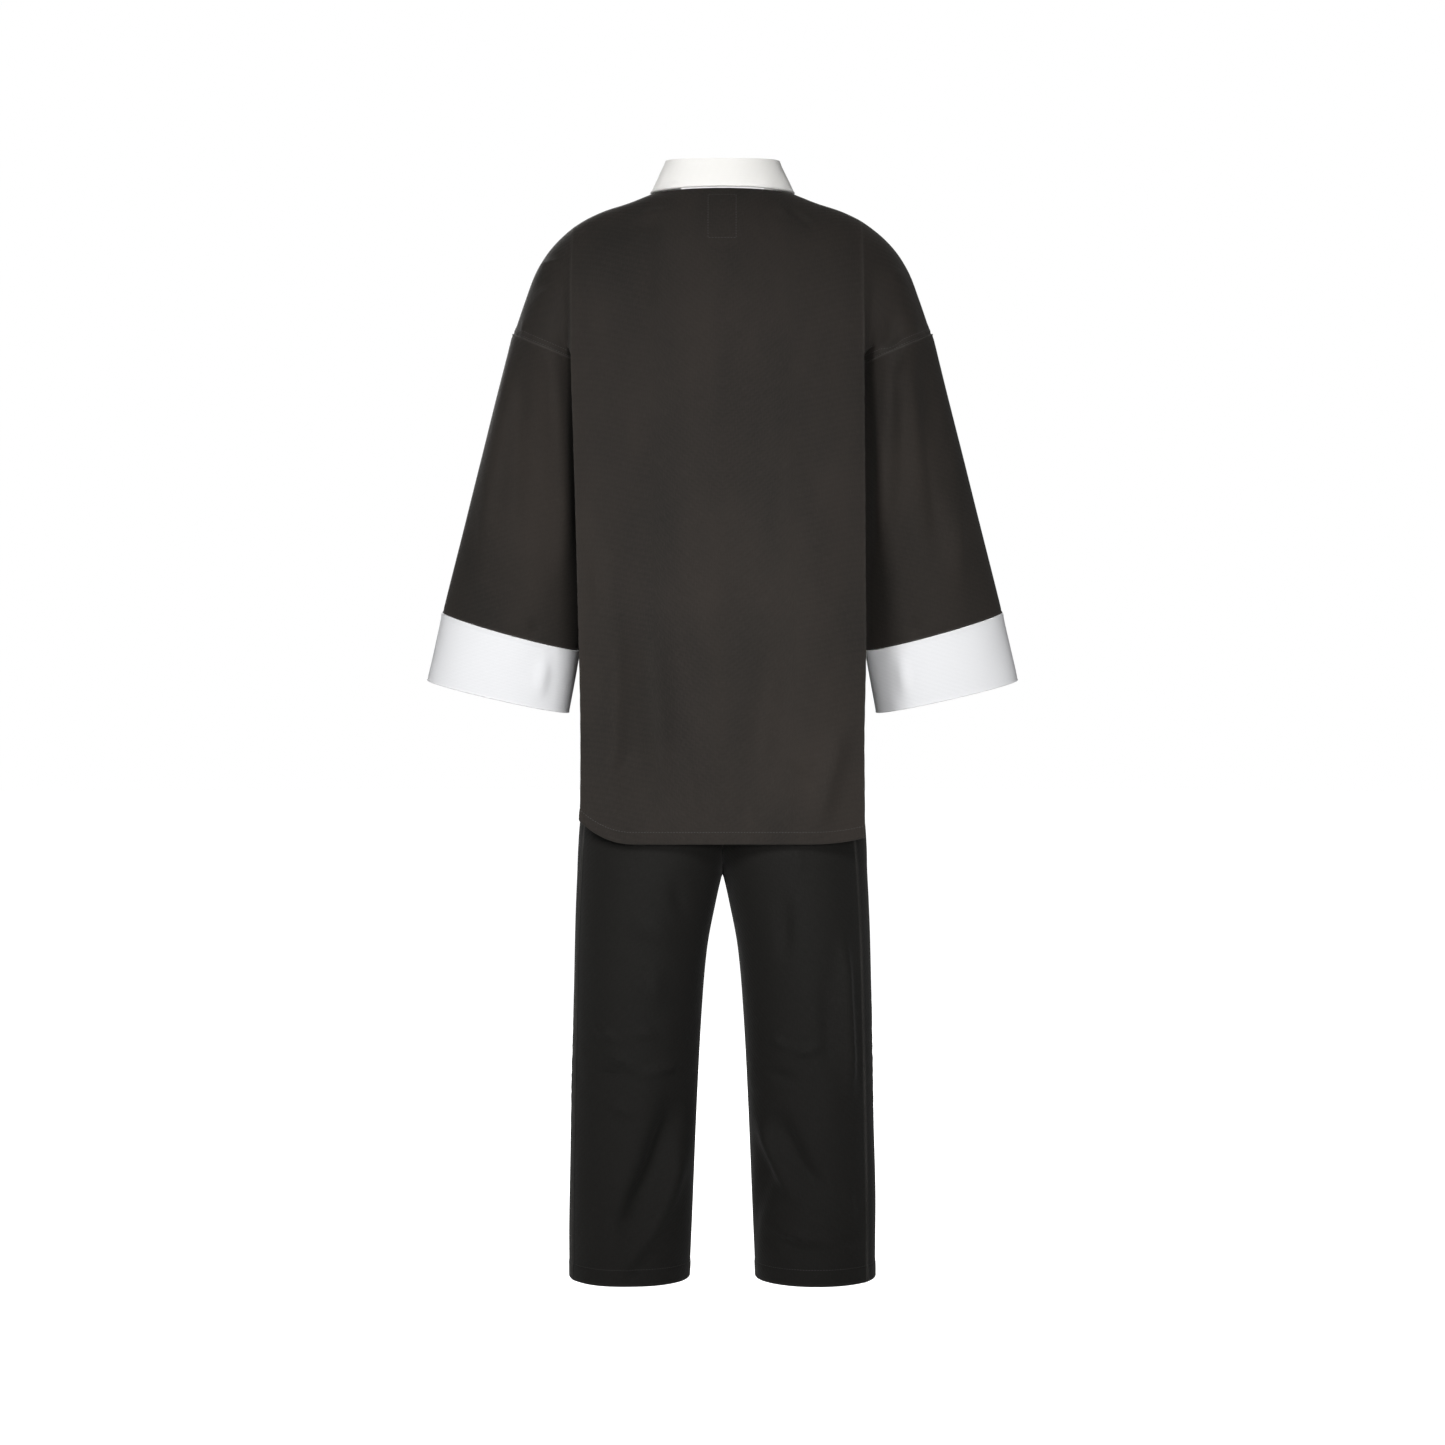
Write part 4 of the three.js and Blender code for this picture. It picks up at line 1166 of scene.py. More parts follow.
@dataclass(frozen=True)
class Twill:
    """Cotton twill: its colours, its yarns and how it takes the light."""

    name: str
    colour: tuple[float, float, float]
    pale: tuple[float, float, float]
    # Colour for rubbed edges, for the painted highlight along the jacket's crease, and for lighter lines along seams.
    wear_and_highlight_colour: tuple[float, float, float]
    yarn: float
    relief: float
    roughness: float
    sheen: float
    sheen_tint: tuple[float, float, float]
    blotch: float = 0.35
    slub: float = 0.3

    def material(self) -> bpy.types.Material:
        """Builds the material.

        Returns:
            A material whose diagonal weave follows the piece's own cloth map.
        """
        s = Shader(self.name)
        uv = s.node("ShaderNodeUVMap", {"uv_map": "cloth"})[0]
        place = s.node("ShaderNodeTexCoord")[3]
        placing = {"Vector": place, "Location": (0.3, 0.2, 0.7), "Scale": (1, 1, 0.45)}
        soft = s.node("ShaderNodeMapping", None, placing)[0]
        wear_and_highlight = s.node("ShaderNodeAttribute", {"attribute_name": "wear_and_highlight"})[2]

        turned = s.node("ShaderNodeMapping", None, {"Vector": uv, "Rotation": (0, 0, math.radians(58))})[0]
        rib = s.node(
            "ShaderNodeTexWave",
            {"wave_type": "BANDS", "bands_direction": "X", "wave_profile": "SIN"},
            {"Vector": turned, "Scale": 1 / (20 * self.yarn), "Distortion": 0.6, "Detail": 2.0, "Detail Scale": 40.0},
        )[1]
        weft = s.node(
            "ShaderNodeTexWave",
            {"wave_type": "BANDS", "bands_direction": "Y", "wave_profile": "SIN"},
            {"Vector": uv, "Scale": 1 / (13 * self.yarn), "Distortion": 0.5, "Detail": 1.0, "Detail Scale": 30.0},
        )[1]
        stretched = s.node("ShaderNodeMapping", None, {"Vector": uv, "Scale": (1, 0.12, 1)})[0]
        slub = s.grain(stretched, 900.0, 2.0)
        lint = s.grain(uv, 2600.0, 1.0)
        blotch = s.grain(soft, 7.0, 3.0, 0.6)

        tone = s.spread(blotch, 0.3, 0.7)
        base = s.mix(tone * self.blotch, self.colour, self.pale)
        woven = s.mix((rib * 0.6 + weft * 0.4) * (0.35 * self.slub + 0.1), base, self.pale)
        flecked = s.mix(s.spread(slub, 0.45, 0.8) * self.slub, woven, self.pale)
        # Share of the pale edge colour: rubbed edges, and the painted highlight along the jacket's crease.
        edge = wear_and_highlight * (0.4 + lint * 0.6)
        height = rib * 0.6 + weft * 0.25 + slub * 0.35 + lint * 0.2
        normal = s.node("ShaderNodeBump", None, {"Strength": self.relief, "Distance": 0.00025, "Height": height})[0]
        s.surface(
            Base_Color=s.mix(edge, flecked, self.wear_and_highlight_colour),
            Roughness=s.spread(slub, 0.2, 0.8, self.roughness + 0.05, self.roughness - 0.07),
            Normal=normal,
            Sheen_Weight=self.sheen,
            Sheen_Roughness=0.45,
            Sheen_Tint=self.sheen_tint,
            Specular_IOR_Level=0.14,
        )
        return s.material


JACKET_TWILL = Twill(
    "black twill of the jacket", (0.0098, 0.0094, 0.0085), (0.0268, 0.0216, 0.0182), (0.05, 0.046, 0.042),
    0.0009, 0.5, 0.84, 0.06, (0.8, 0.77, 0.73), 0.62,
)
TROUSER_TWILL = Twill(
    "black twill of the trousers", (0.0058, 0.0055, 0.0049), (0.0105, 0.0099, 0.0088), (0.045, 0.043, 0.04),
    0.0009, 0.5, 0.82, 0.04, (0.8, 0.79, 0.77),
)
COLLAR_TWILL = Twill(
    "warm white twill of the collar", (0.8, 0.79, 0.765), (0.84, 0.83, 0.81), (0.88, 0.87, 0.85),
    0.0008, 0.35, 0.8, 0.08, (1, 1, 1), 0.3, 0.2,
)
# Painted shade: the cuffs' white is set darker than the collar's white trim, standing in for the shade the cuffs hang
# in.
CUFF_TWILL = Twill(
    "cool white twill of the cuffs", (0.6, 0.604, 0.618), (0.64, 0.644, 0.654), (0.7, 0.7, 0.705),
    0.0008, 0.35, 0.8, 0.08, (1, 1, 1), 0.3, 0.2,
)
CORD_CLOTH = Twill(
    "white cord cloth", (0.8, 0.8, 0.79), (0.86, 0.86, 0.85), (0.9, 0.9, 0.9),
    0.0006, 0.5, 0.75, 0.1, (1, 1, 1), 0.3, 0.3,
)


@dataclass(frozen=True)
class Thread:
    """Sewing thread: its colour and gloss."""

    name: str
    colour: tuple[float, float, float]
    roughness: float

    def material(self) -> bpy.types.Material:
        """Builds the material with a fine ply across the thread."""
        s = Shader(self.name)
        place = s.node("ShaderNodeTexCoord")[3]
        ply = s.grain(place, 1800.0, 1.0)
        darker = tuple(0.7 * c for c in self.colour)
        s.surface(
            Base_Color=s.mix(ply, darker, self.colour),
            Roughness=self.roughness,
            Normal=s.node("ShaderNodeBump", None, {"Strength": 0.3, "Distance": 0.0001, "Height": ply})[0],
        )
        return s.material


# Painted sheen: the black threads are set lighter than their cloth, standing in for the gloss of the thread.
DARK_THREAD = Thread("black thread", (0.03, 0.028, 0.026), 0.7)
TROUSER_THREAD = Thread("black thread of the trousers", (0.016, 0.015, 0.014), 0.7)
WHITE_THREAD = Thread("white thread", (0.86, 0.86, 0.86), 0.6)


@dataclass
class Wardrobe:
    """All the finishes, each made once."""

    jacket: bpy.types.Material = field(default_factory=JACKET_TWILL.material)
    trousers: bpy.types.Material = field(default_factory=TROUSER_TWILL.material)
    cord: bpy.types.Material = field(default_factory=CORD_CLOTH.material)
    collar: bpy.types.Material = field(default_factory=COLLAR_TWILL.material)
    cuff: bpy.types.Material = field(default_factory=CUFF_TWILL.material)
    dark_thread: bpy.types.Material = field(default_factory=DARK_THREAD.material)
    trouser_thread: bpy.types.Material = field(default_factory=TROUSER_THREAD.material)
    white_thread: bpy.types.Material = field(default_factory=WHITE_THREAD.material)


@dataclass
class Jacket:
    """Body of the jacket: one back panel and two fronts, creased, hemmed and stitched.

    Sizes are in millimetres.
    """

    wardrobe: Wardrobe
    row: float = 4.2
    column: float = 4.2
    crease_round: float = 4.0
    hem: float = 14.0
    vent_hem: float = 10.0
    front_hem: float = 7.0
    seam_rows: tuple[float, float] = (1.8, 7.2)
    nape_outline: tuple[float, float, float, float] = (-16.0, 17.0, -59.5, -4.5)

    def _shares(self) -> tuple[Points, Points, Points, Points, Points]:
        """Steps over the panel: across, down the upper part, down the lower part, side and arm."""
        neck = steps(0, 0.5, 0.021, 0.006, 0.048, "start")
        ridge = 0.5 + 0.5 * steps(0, 1, self.column / 93, 0.016, 0.1, "end")
        share = np.concatenate([neck, ridge[1:]])
        upper = steps(0, 1, 0.019)
        lower = 1 + steps(0, 1, self.row / 572, 0.0025, 0.035, "end")
        side = steps(0, 1, 0.05, 0.016, 0.14, "both")
        arm = steps(0, 1, 0.04, 0.016, 0.12, "both")
        return share, upper, lower, side, arm

    def panel(self, face: Face, hands: Sequence[Hand]) -> Sheet:
        """Sheet of one panel.

        Args:
            face: back or front.
            hands: the halves that it is cut in one with.

        Returns:
            The sheet, welded, with its crease rounded.
        """
        share, upper, lower, side, arm = self._shares()
        down = np.concatenate([upper, lower[1:]])
        sheet = Sheet()
        for hand in hands:
            flip = face.sign * hand.value > 0
            sheet.grid(torso(face, hand, share[None, :], down[:, None]), flip)
            sheet.grid(flank(face, hand, side[None, :], lower[:, None]), flip)
            turn = np.concatenate([upper * ARM_CREASE_SHARE, ARM_CREASE_SHARE + side[1:] * (1 - ARM_CREASE_SHARE)])
            sheet.grid(shoulder(face, hand, arm[None, :], turn[:, None]), flip)
        sheet.weld()
        return sheet

    @staticmethod
    def hem_line(face: Face, hand: Hand, down: float = 2.0) -> Points:
        """Hem from the middle to the side seam, or a line above it."""
        body = torso(face, hand, np.linspace(0, 1, 300), down)
        return np.concatenate([body, flank(face, hand, np.linspace(0, 1, 120)[1:], down)])

    @staticmethod
    def vent_line(face: Face, hand: Hand, across: float = 1.0) -> Points:
        """Edge of the side vent, or a line further in."""
        start = 1 + (ARMPIT_Z - VENT_TOP_Z) / (ARMPIT_Z - HEM_Z)
        return flank(face, hand, across, np.linspace(start, 2, 160))

    @staticmethod
    def seam_line(face: Face, hand: Hand, out: float = 1.0) -> Points:
        """Sleeve seam from the shoulder round to the underarm, or a line further in."""
        return shoulder(face, hand, out, np.linspace(0, 1, 260))

    @staticmethod
    def front_line(hand: Hand, share: float = 0.0) -> Points:
        """Front edge from the neck to the hem, or a line further in."""
        return torso(FRONT, hand, share, np.linspace(0, 2, 600))

    @staticmethod
    def crease_line(face: Face, hand: Hand) -> Points:
        """Crease between the panel's middle and its side."""
        return torso(face, hand, 1.0, np.linspace(0, 2, 500))

    @staticmethod
    def neck_line(face: Face, hand: Hand) -> Points:
        """Neckline from the middle to the side of the neck."""
        return torso(face, hand, np.linspace(0, 0.5, 160), 0.0)

    def shape(self, sheet: Sheet, face: Face, hands: Sequence[Hand]) -> Points:
        """Adds the creases, hems and seams and the small unevenness of cloth long in use.

        Args:
            sheet: the welded panel, which is changed.
            face: back or front.
            hands: its halves.

        Returns:
            How far each point takes the pale edge colour: rubbed edges, a painted highlight along the crease, and a
            fainter lighter line on the felled seam.
        """

        def away(line: Callable[[Face, Hand], Points]) -> Points:
            """Distance from each point to the lines of both halves."""
            return sheet.distance_to(np.concatenate([line(face, hand) for hand in hands]))

        crease, hem, vent = away(self.crease_line), away(self.hem_line), away(self.vent_line)
        seam, neck = away(self.seam_line), away(self.neck_line)
        sheet.soften(1 - ease(crease, 1, self.crease_round), 4)
        p = sheet.points
        height = crease_height(BODY_CREASES, p, sheet.normals()) + crease_height(ARM_CREASES, p, sheet.normals())
        edge = sheet.distance_to(p[sheet.border()])
        height *= ease(edge, -4, 16) * (0.35 + 0.65 * ease(crease, 0, 9))
        height += 0.55 * surface_noise(p, BODY_SWELL, 3.1) * ease(edge, 0, 25)
        pucker = 1 + 0.5 * surface_noise(p, HEM_PUCKER, 5.5)
        height += hem_relief(hem, self.hem, 0.8) * pucker + hem_relief(vent, self.vent_hem, 0.6)
        height += hem_relief(neck, 3.5, 0.4)
        if face is FRONT:
            height += hem_relief(sheet.distance_to(self.front_line(hands[0])), self.front_hem, 0.5)
        felled = ease(seam, 0, 1.4) * (1 - ease(seam, self.seam_rows[1] + 0.8, self.seam_rows[1] + 2.6))
        height += 0.6 * felled * pucker - 0.5 * sum(bump(seam - row, 0.9) for row in self.seam_rows)
        height += 0.9 * bump(crease, 1.7) * ease(-p[:, 2], 20, 70)
        sheet.press(height)
        # Painted highlight: a light line along the crease, and a fainter lighter line on the felled seam ridge; the
        # lighter border is rubbed edges.
        ridge = 0.3 * bump(crease, 1.4) + 0.1 * bump(seam - 4.5, 2.4)
        return np.clip(0.4 * np.exp(-edge / 1.2) + ridge, 0, 1)

    def sew(self, node: str, sheet: Sheet, face: Face, hands: Sequence[Hand]) -> None:
        """Stitches the hems, the vents, the sleeve seams, and the nape or the front edge.

        Args:
            node: name of the panel's solid.
            sheet: the dressed panel.
            face: back or front.
            hands: its halves.
        """
        sewn = Stitching(f"stitches_{node}", [sheet])
        for hand in hands:
            sewn.row(inset(self.hem_line(face, hand), self.hem_line(face, hand, 1.95), self.hem))
            sewn.row(inset(self.vent_line(face, hand), self.vent_line(face, hand, 0.8), self.vent_hem))
            for row in self.seam_rows:
                sewn.row(inset(self.seam_line(face, hand), self.seam_line(face, hand, 0.85), row))
        if face is FRONT:
            sewn.row(inset(self.front_line(hands[0]), self.front_line(hands[0], 0.08), self.front_hem))
        else:
            low_x, high_x, low_z, high_z = self.nape_outline
            corners = [(low_x, high_z), (low_x, low_z), (high_x, low_z), (high_x, high_z), (low_x, high_z)]
            for start, end in zip(corners[:-1], corners[1:]):
                sewn.row(sewn.on_back(np.linspace(start, end, 24)))
        sewn.build(Slot.JACKET, self.wardrobe.dark_thread)

    def build(self) -> dict[str, Sheet]:
        """Builds and dresses the three panels.

        Returns:
            The outer faces of the panels by node name.
        """
        made = {}
        for face, hands in ((BACK, (Hand.LEFT, Hand.RIGHT)), (FRONT, (Hand.LEFT,)), (FRONT, (Hand.RIGHT,))):
            node = "jacket_back" if face is BACK else f"jacket_front_{hands[0].word}"
            sheet = self.panel(face, hands)
            wear_and_highlight = self.shape(sheet, face, hands)
            piece = sheet.mesh(f"{node}_cloth", wear_and_highlight)
            thicken(piece, CLOTH, 0.5)
            finish_piece(piece, Slot.JACKET, self.wardrobe.jacket, node)
            self.sew(node, sheet, face, hands)
            made[node] = sheet
        return made


@dataclass
class Sleeves:
    """Wide sleeves with their white cuffs. Sizes are in millimetres."""

    wardrobe: Wardrobe
    column: float = 3.6
    around: int = 131
    cuff_stitch: float = 2.4

    def tube(self, hand: Hand, start: Ring, end: Ring, length: float, open_end: bool) -> Sheet:
        """Sheet of a sleeve or cuff, tucked a little under the edge that it is sewn to.

        Args:
            hand: left or right.
            start: ring at its upper end.
            end: ring at its lower end.
            length: usual length of the tube.
            open_end: whether nothing is sewn to its lower end.

        Returns:
            The welded sheet.
        """
        turn = np.linspace(0, 1, self.around)
        along = steps(0, 1, self.column / length, 1.3 / length, 8 / length, "both")
        points = arm_tube(hand, start, end, turn[None, :], along[:, None])
        points[0] -= ArmRing(hand, start, end, 0.0).normal * SEAM_TUCK
        if not open_end:
            points[-1] -= ArmRing(hand, start, end, 1.0).normal * SEAM_GAP / 2
        sheet = Sheet()
        sheet.grid(points, hand is Hand.LEFT)
        sheet.weld()
        return sheet

    def sleeve(self, hand: Hand) -> None:
        """Builds and dresses one sleeve."""
        sheet = self.tube(hand, ARM_SEAM, ARM_CUFF, 340, False)
        p = sheet.points
        edge = sheet.distance_to(p[sheet.border()])
        height = crease_height(ARM_CREASES, p, sheet.normals()) * ease(edge, -4, 16)
        height += 0.45 * surface_noise(p, ARM_SWELL, 7.7 + hand.value) * ease(edge, 0, 20)
        height += 0.3 * surface_noise(p, SLEEVE_PUCKER, 2.2) * bump(edge, 14)
        sheet.press(height - 0.7 * bump(edge, 1.0) + 0.35 * bump(edge - 3.5, 2.2))
        piece = sheet.mesh(f"sleeve_{hand.word}_cloth", 0.7 * np.exp(-edge / 1.2))
        thicken(piece, CLOTH, 0.5)
        finish_piece(piece, Slot.JACKET, self.wardrobe.jacket, f"sleeve_{hand.word}")

    def cuff(self, hand: Hand) -> None:
        """Builds and dresses one cuff, with the row of stitches below its seam.

        Args:
            hand: left or right.
        """
        sheet = self.tube(hand, ARM_CUFF, ARM_END, 84, True)
        p = sheet.points
        edge = sheet.distance_to(p[sheet.border()])
        height = crease_height(CUFF_CREASES, p, sheet.normals()) * ease(edge, -6, 10)
        height += 0.5 * surface_noise(p, CUFF_SWELL, 4.1 + hand.value) * ease(edge, 0, 14)
        ring = np.linspace(0, 1, 500)
        seam = arm_tube(hand, ARM_CUFF, ARM_END, ring, 0.0)
        away = sheet.distance_to(seam)
        height += 0.35 * surface_noise(p, CUFF_PUCKER, 6.2) * bump(away, 9) - 0.4 * bump(away - self.cuff_stitch, 0.9)
        sheet.press(height - 0.8 * bump(edge, 1.2))
        piece = sheet.mesh(f"cuff_{hand.word}_cloth", 0.6 * np.exp(-edge / 1.2))
        thicken(piece, TRIM_CLOTH, 0.7)
        finish_piece(piece, Slot.TRIM, self.wardrobe.cuff, f"cuff_{hand.word}")
        sewn = Stitching(f"stitches_cuff_{hand.word}", [sheet])
        sewn.row(inset(seam, arm_tube(hand, ARM_CUFF, ARM_END, ring, 0.15), self.cuff_stitch))
        sewn.build(Slot.TRIM, self.wardrobe.white_thread)

    def build(self) -> None:
        """Builds both sleeves and both cuffs."""
        for hand in Hand:
            self.sleeve(hand)
            self.cuff(hand)


@dataclass
class Collar:
    """White stand collar of two layers, stitched along its foot and its rim."""

    wardrobe: Wardrobe
    foot_row: float = 2.6
    rim_row: float = 3.2

    def build(self) -> None:
        """Builds and dresses the collar."""
        sheet = Sheet()
        turn = steps(0, 1, 0.006, 0.003, 0.03, "both")
        up = steps(0, 1, 0.06, 0.025, 0.15, "both")
        sheet.grid(stand_collar(turn[None, :], up[:, None]), True)
        sheet.weld()
        p = sheet.points
        edge = sheet.distance_to(p[sheet.border()])
        ring = np.linspace(0.001, 0.999, 700)
        foot, rim = stand_collar(ring, 0 * ring), stand_collar(ring, 0 * ring + 1)
        above, below = sheet.distance_to(foot), sheet.distance_to(rim)
        height = crease_height(COLLAR_CREASES, p, sheet.normals()) * ease(edge, 0, 6)
        height += 0.6 * surface_noise(p, COLLAR_SWELL, 8.8) * ease(edge, 0, 8) - 0.8 * bump(edge, 1.2)
        height -= 0.35 * (bump(above - self.foot_row, 0.9) + bump(below - self.rim_row, 0.9))
        sheet.press(height + 0.25 * surface_noise(p, COLLAR_PUCKER, 1.2) * bump(edge, 6))
        piece = sheet.mesh("collar_cloth", 0.6 * np.exp(-edge / 1.2))
        thicken(piece, TRIM_CLOTH, 0.8)
        finish_piece(piece, Slot.TRIM, self.wardrobe.collar, "collar")
        sewn = Stitching("stitches_collar", [sheet])
        sewn.row(inset(foot, rim, self.foot_row))
        sewn.row(inset(rim, foot, self.rim_row))
        sewn.build(Slot.TRIM, self.wardrobe.white_thread)


@dataclass
class Frogs:
    """Seven knotted closures of white cord, sewn to the fronts. Sizes are in millimetres.

    Each half is one cord, folded at its outer end. Its own directions are: away from the middle of
    the front, up, and out from the cloth.
    """

    wardrobe: Wardrobe
    fronts: Sequence[Sheet]
    count: int = 7
    top_z: float = -66.0
    step: float = 86.0
    reach: float = 60.0
    root: float = 12.5
    half_width: float = 2.15
    half_thick: float = 1.15
    cord_radius: float = 1.35
    loop_radius: float = 8.2
    loop_angle: float = math.radians(24)
    lie: float = 0.25
    level_at: float = 30.0
    stem_level: float = 5.4
    knot_level: float = 10.2
    knot_core: float = 4.3
    knot_weave: float = 0.65
    knot_cord: float = 1.15
    sides: int = 12

    def __post_init__(self) -> None:
        """Gathers the fronts that the cords lie on."""
        self.ground = Stitching("fronts", self.fronts).tree

    def _strip(self) -> Points:
        """Run of the cord from its root out round the fold and back to the root."""
        turn = np.linspace(np.pi / 2, -np.pi / 2, 13)
        end = self.reach - 2 * self.half_width
        out = np.linspace(self.root, end, 16)[:-1]
        fold = np.stack([end + self.half_width * np.cos(turn), self.half_width * np.sin(turn)], axis=1)
        there = np.stack([out, 0 * out + self.half_width], axis=1)
        back = np.stack([out[::-1], 0 * out - self.half_width], axis=1)
        flat = np.concatenate([there, fold, back])
        return np.column_stack([flat, np.full(len(flat), self.lie + self.half_thick)])

    def _loop(self) -> Points:
        """Run of the cord round the knot, from one root to the other."""
        turn = np.linspace(2 * np.pi - self.loop_angle, self.loop_angle, 41)
        ring = self.loop_radius * np.stack([np.cos(turn), np.sin(turn)], axis=1)
        return np.column_stack([ring, np.full(len(ring), self.lie + self.cord_radius + 0.4)])

    def _stems(self) -> tuple[Points, Points]:
        """Runs of the cord from the roots up into the knot."""
        low = self.lie + self.half_thick
        upper = np.array([
            (2.0, 0.7, self.knot_level - 2), (4.2, 1.1, self.stem_level + 1.2), (7.0, 1.4, self.stem_level),
            (9.2, 1.7, self.stem_level - 1.4), (11.0, 2.0, low + 1.0),
        ])
        return upper, upper[::-1] * (1, -1, 1)

    def _weave(self) -> Points:
        """Path of the cord that weaves three leads and five bights round the knot."""
        t = np.linspace(0, 6 * np.pi, 151)
        lead = 5 * t / 3
        radius = self.knot_core + self.knot_weave * np.sin(2 * lead)
        rise = 1.02 * np.sin(lead)
        ball = np.stack([np.cos(rise) * np.cos(t), np.cos(rise) * np.sin(t), np.sin(rise)], axis=1)
        return ball * radius[:, None]

    @staticmethod
    def _smooth(path: Points, closed: bool) -> Points:
        """Path with its corners eased."""
        for _ in range(3):
            before, after = np.roll(path, 1, axis=0), np.roll(path, -1, axis=0)
            eased = 0.5 * path + 0.25 * (before + after)
            if not closed:
                eased[0], eased[-1] = path[0], path[-1]
            path = eased
        return path

    def _tube(self, path: Points, wide: Points, thick: Points, outs: Points) -> tuple[Points, Points]:
        """Rings of a cord along its path.

        Args:
            path: middle of the cord.
            wide: its half width across the cloth at each point.
            thick: its half thickness.
            outs: direction out from the cloth at each point.

        Returns:
            The middle of each ring, and how far its points stand from it.
        """
        way = np.gradient(path, axis=0)
        if np.allclose(path[0], path[-1]):
            way[0] = way[-1] = path[1] - path[-2]
        side = np.cross(way, outs)
        side /= np.linalg.norm(side, axis=1, keepdims=True)
        up = np.cross(side, way)
        up /= np.linalg.norm(up, axis=1, keepdims=True)
        angle = np.linspace(0, 2 * np.pi, self.sides + 1)[None, :, None]
        away = side[:, None] * wide[:, None, None] * np.cos(angle) + up[:, None] * thick[:, None, None] * np.sin(angle)
        return path, away

    def _lay(self, hand: Hand, z: float, path: Points, away: Points) -> Points:
        """Puts rings on the front at the height of one closure.

        Args:
            hand: the side that the cord runs to.
            z: height of the closure.
            path: middles of the rings.
            away: how far the points of each ring stand from its middle.

        Returns:
            Rows of points in the frame of the suit.
        """
        out, _ = self._hit(hand.value * self.level_at, z)
        x_way, up = np.array([hand.value, 0, 0]), np.array([0, 0, 1.0])
        up = up - out * out[2]
        up /= np.linalg.norm(up)
        middles = []
        for along, rise, level in path:
            x = hand.value * along
            _, y = self._hit(x, z + rise)
            middles.append(np.array([x, y, z]) + up * rise + out * level)
        turned = away[..., :1] * x_way + away[..., 1:2] * up + away[..., 2:] * out
        return np.array(middles)[:, None] + turned

    def _hit(self, x: float, z: float) -> tuple[Points, float]:
        """Outward direction of the front's outer face at a distance out and a height, and its Y there."""
        place, out, _, _ = self.ground.ray_cast(Vector((x, -300, z)), Vector((0, 1, 0)))
        if place is None:
            place, out, _, _ = self.ground.find_nearest(Vector((x, -100, z)))
        normal = np.array(out)
        return normal if normal[1] < 0 else -normal, place.y

    def half(self, name: str, hand: Hand, z: float) -> Sheet:
        """Cord of one half of a closure.

        Args:
            name: "loop" or "knot".
            hand: the side that it is sewn to.
            z: height of the closure.

        Returns:
            The welded sheet of its surface.
        """
        strip = self._strip()
        if name == "loop":
            path = np.concatenate([self._loop()[::-1], strip])[:, :3]
            path = np.concatenate([path, path[:1]])
            path[:-1] = self._smooth(path[:-1], True)
            path[-1] = path[0]
        else:
            first, last = self._stems()
            path = self._smooth(np.concatenate([first, strip, last]), False)
        flat = ease(path[:, 0], self.root - 5, self.root + 2)
        wide, thick = lerp(self.cord_radius, self.half_width, flat), lerp(self.cord_radius, self.half_thick, flat)
        if name == "knot":
            ends = np.minimum(np.arange(len(path)), np.arange(len(path))[::-1])
            wide, thick = wide * np.where(ends == 0, 0, 1), thick * np.where(ends == 0, 0, 1)
        sheet = Sheet()
        outs = np.tile([0.0, 0.0, 1.0], (len(path), 1))
        sheet.grid(self._lay(hand, z, *self._tube(path, wide, thick, outs)), hand is Hand.LEFT)
        if name == "knot":
            weave = self._weave()
            size = np.full(len(weave), self.knot_cord)
            _, away = self._tube(weave, size * 1.12, size, weave)
            centre = np.array([[0.0, 0.0, self.knot_level]])
            ball = self._lay(hand, z, centre, (weave[:, None] + away).reshape(1, -1, 3)).reshape(*away.shape)
            sheet.grid(ball, hand is Hand.LEFT)
            lat, lon = np.linspace(-np.pi / 2, np.pi / 2, 13)[:, None], np.linspace(0, 2 * np.pi, 25)[None, :]
            core = self.knot_core * pack(np.cos(lat) * np.cos(lon), np.cos(lat) * np.sin(lon), np.sin(lat))
            sheet.grid(self._lay(hand, z, centre, core.reshape(1, -1, 3)).reshape(core.shape), hand is Hand.LEFT)
        sheet.weld()
        return sheet

    def build(self) -> None:
        """Builds and dresses the seven closures."""
        for number in range(1, self.count + 1):
            z = self.top_z - self.step * (number - 1)
            for name, hand in (("knot", Hand.RIGHT), ("loop", Hand.LEFT)):
                piece = self.half(name, hand, z).mesh(f"frog_{name}_{number}_cord")
                face_outward(piece, 60)
                finish_piece(piece, Slot.TRIM, self.wardrobe.cord, f"frog_{name}_{number}")


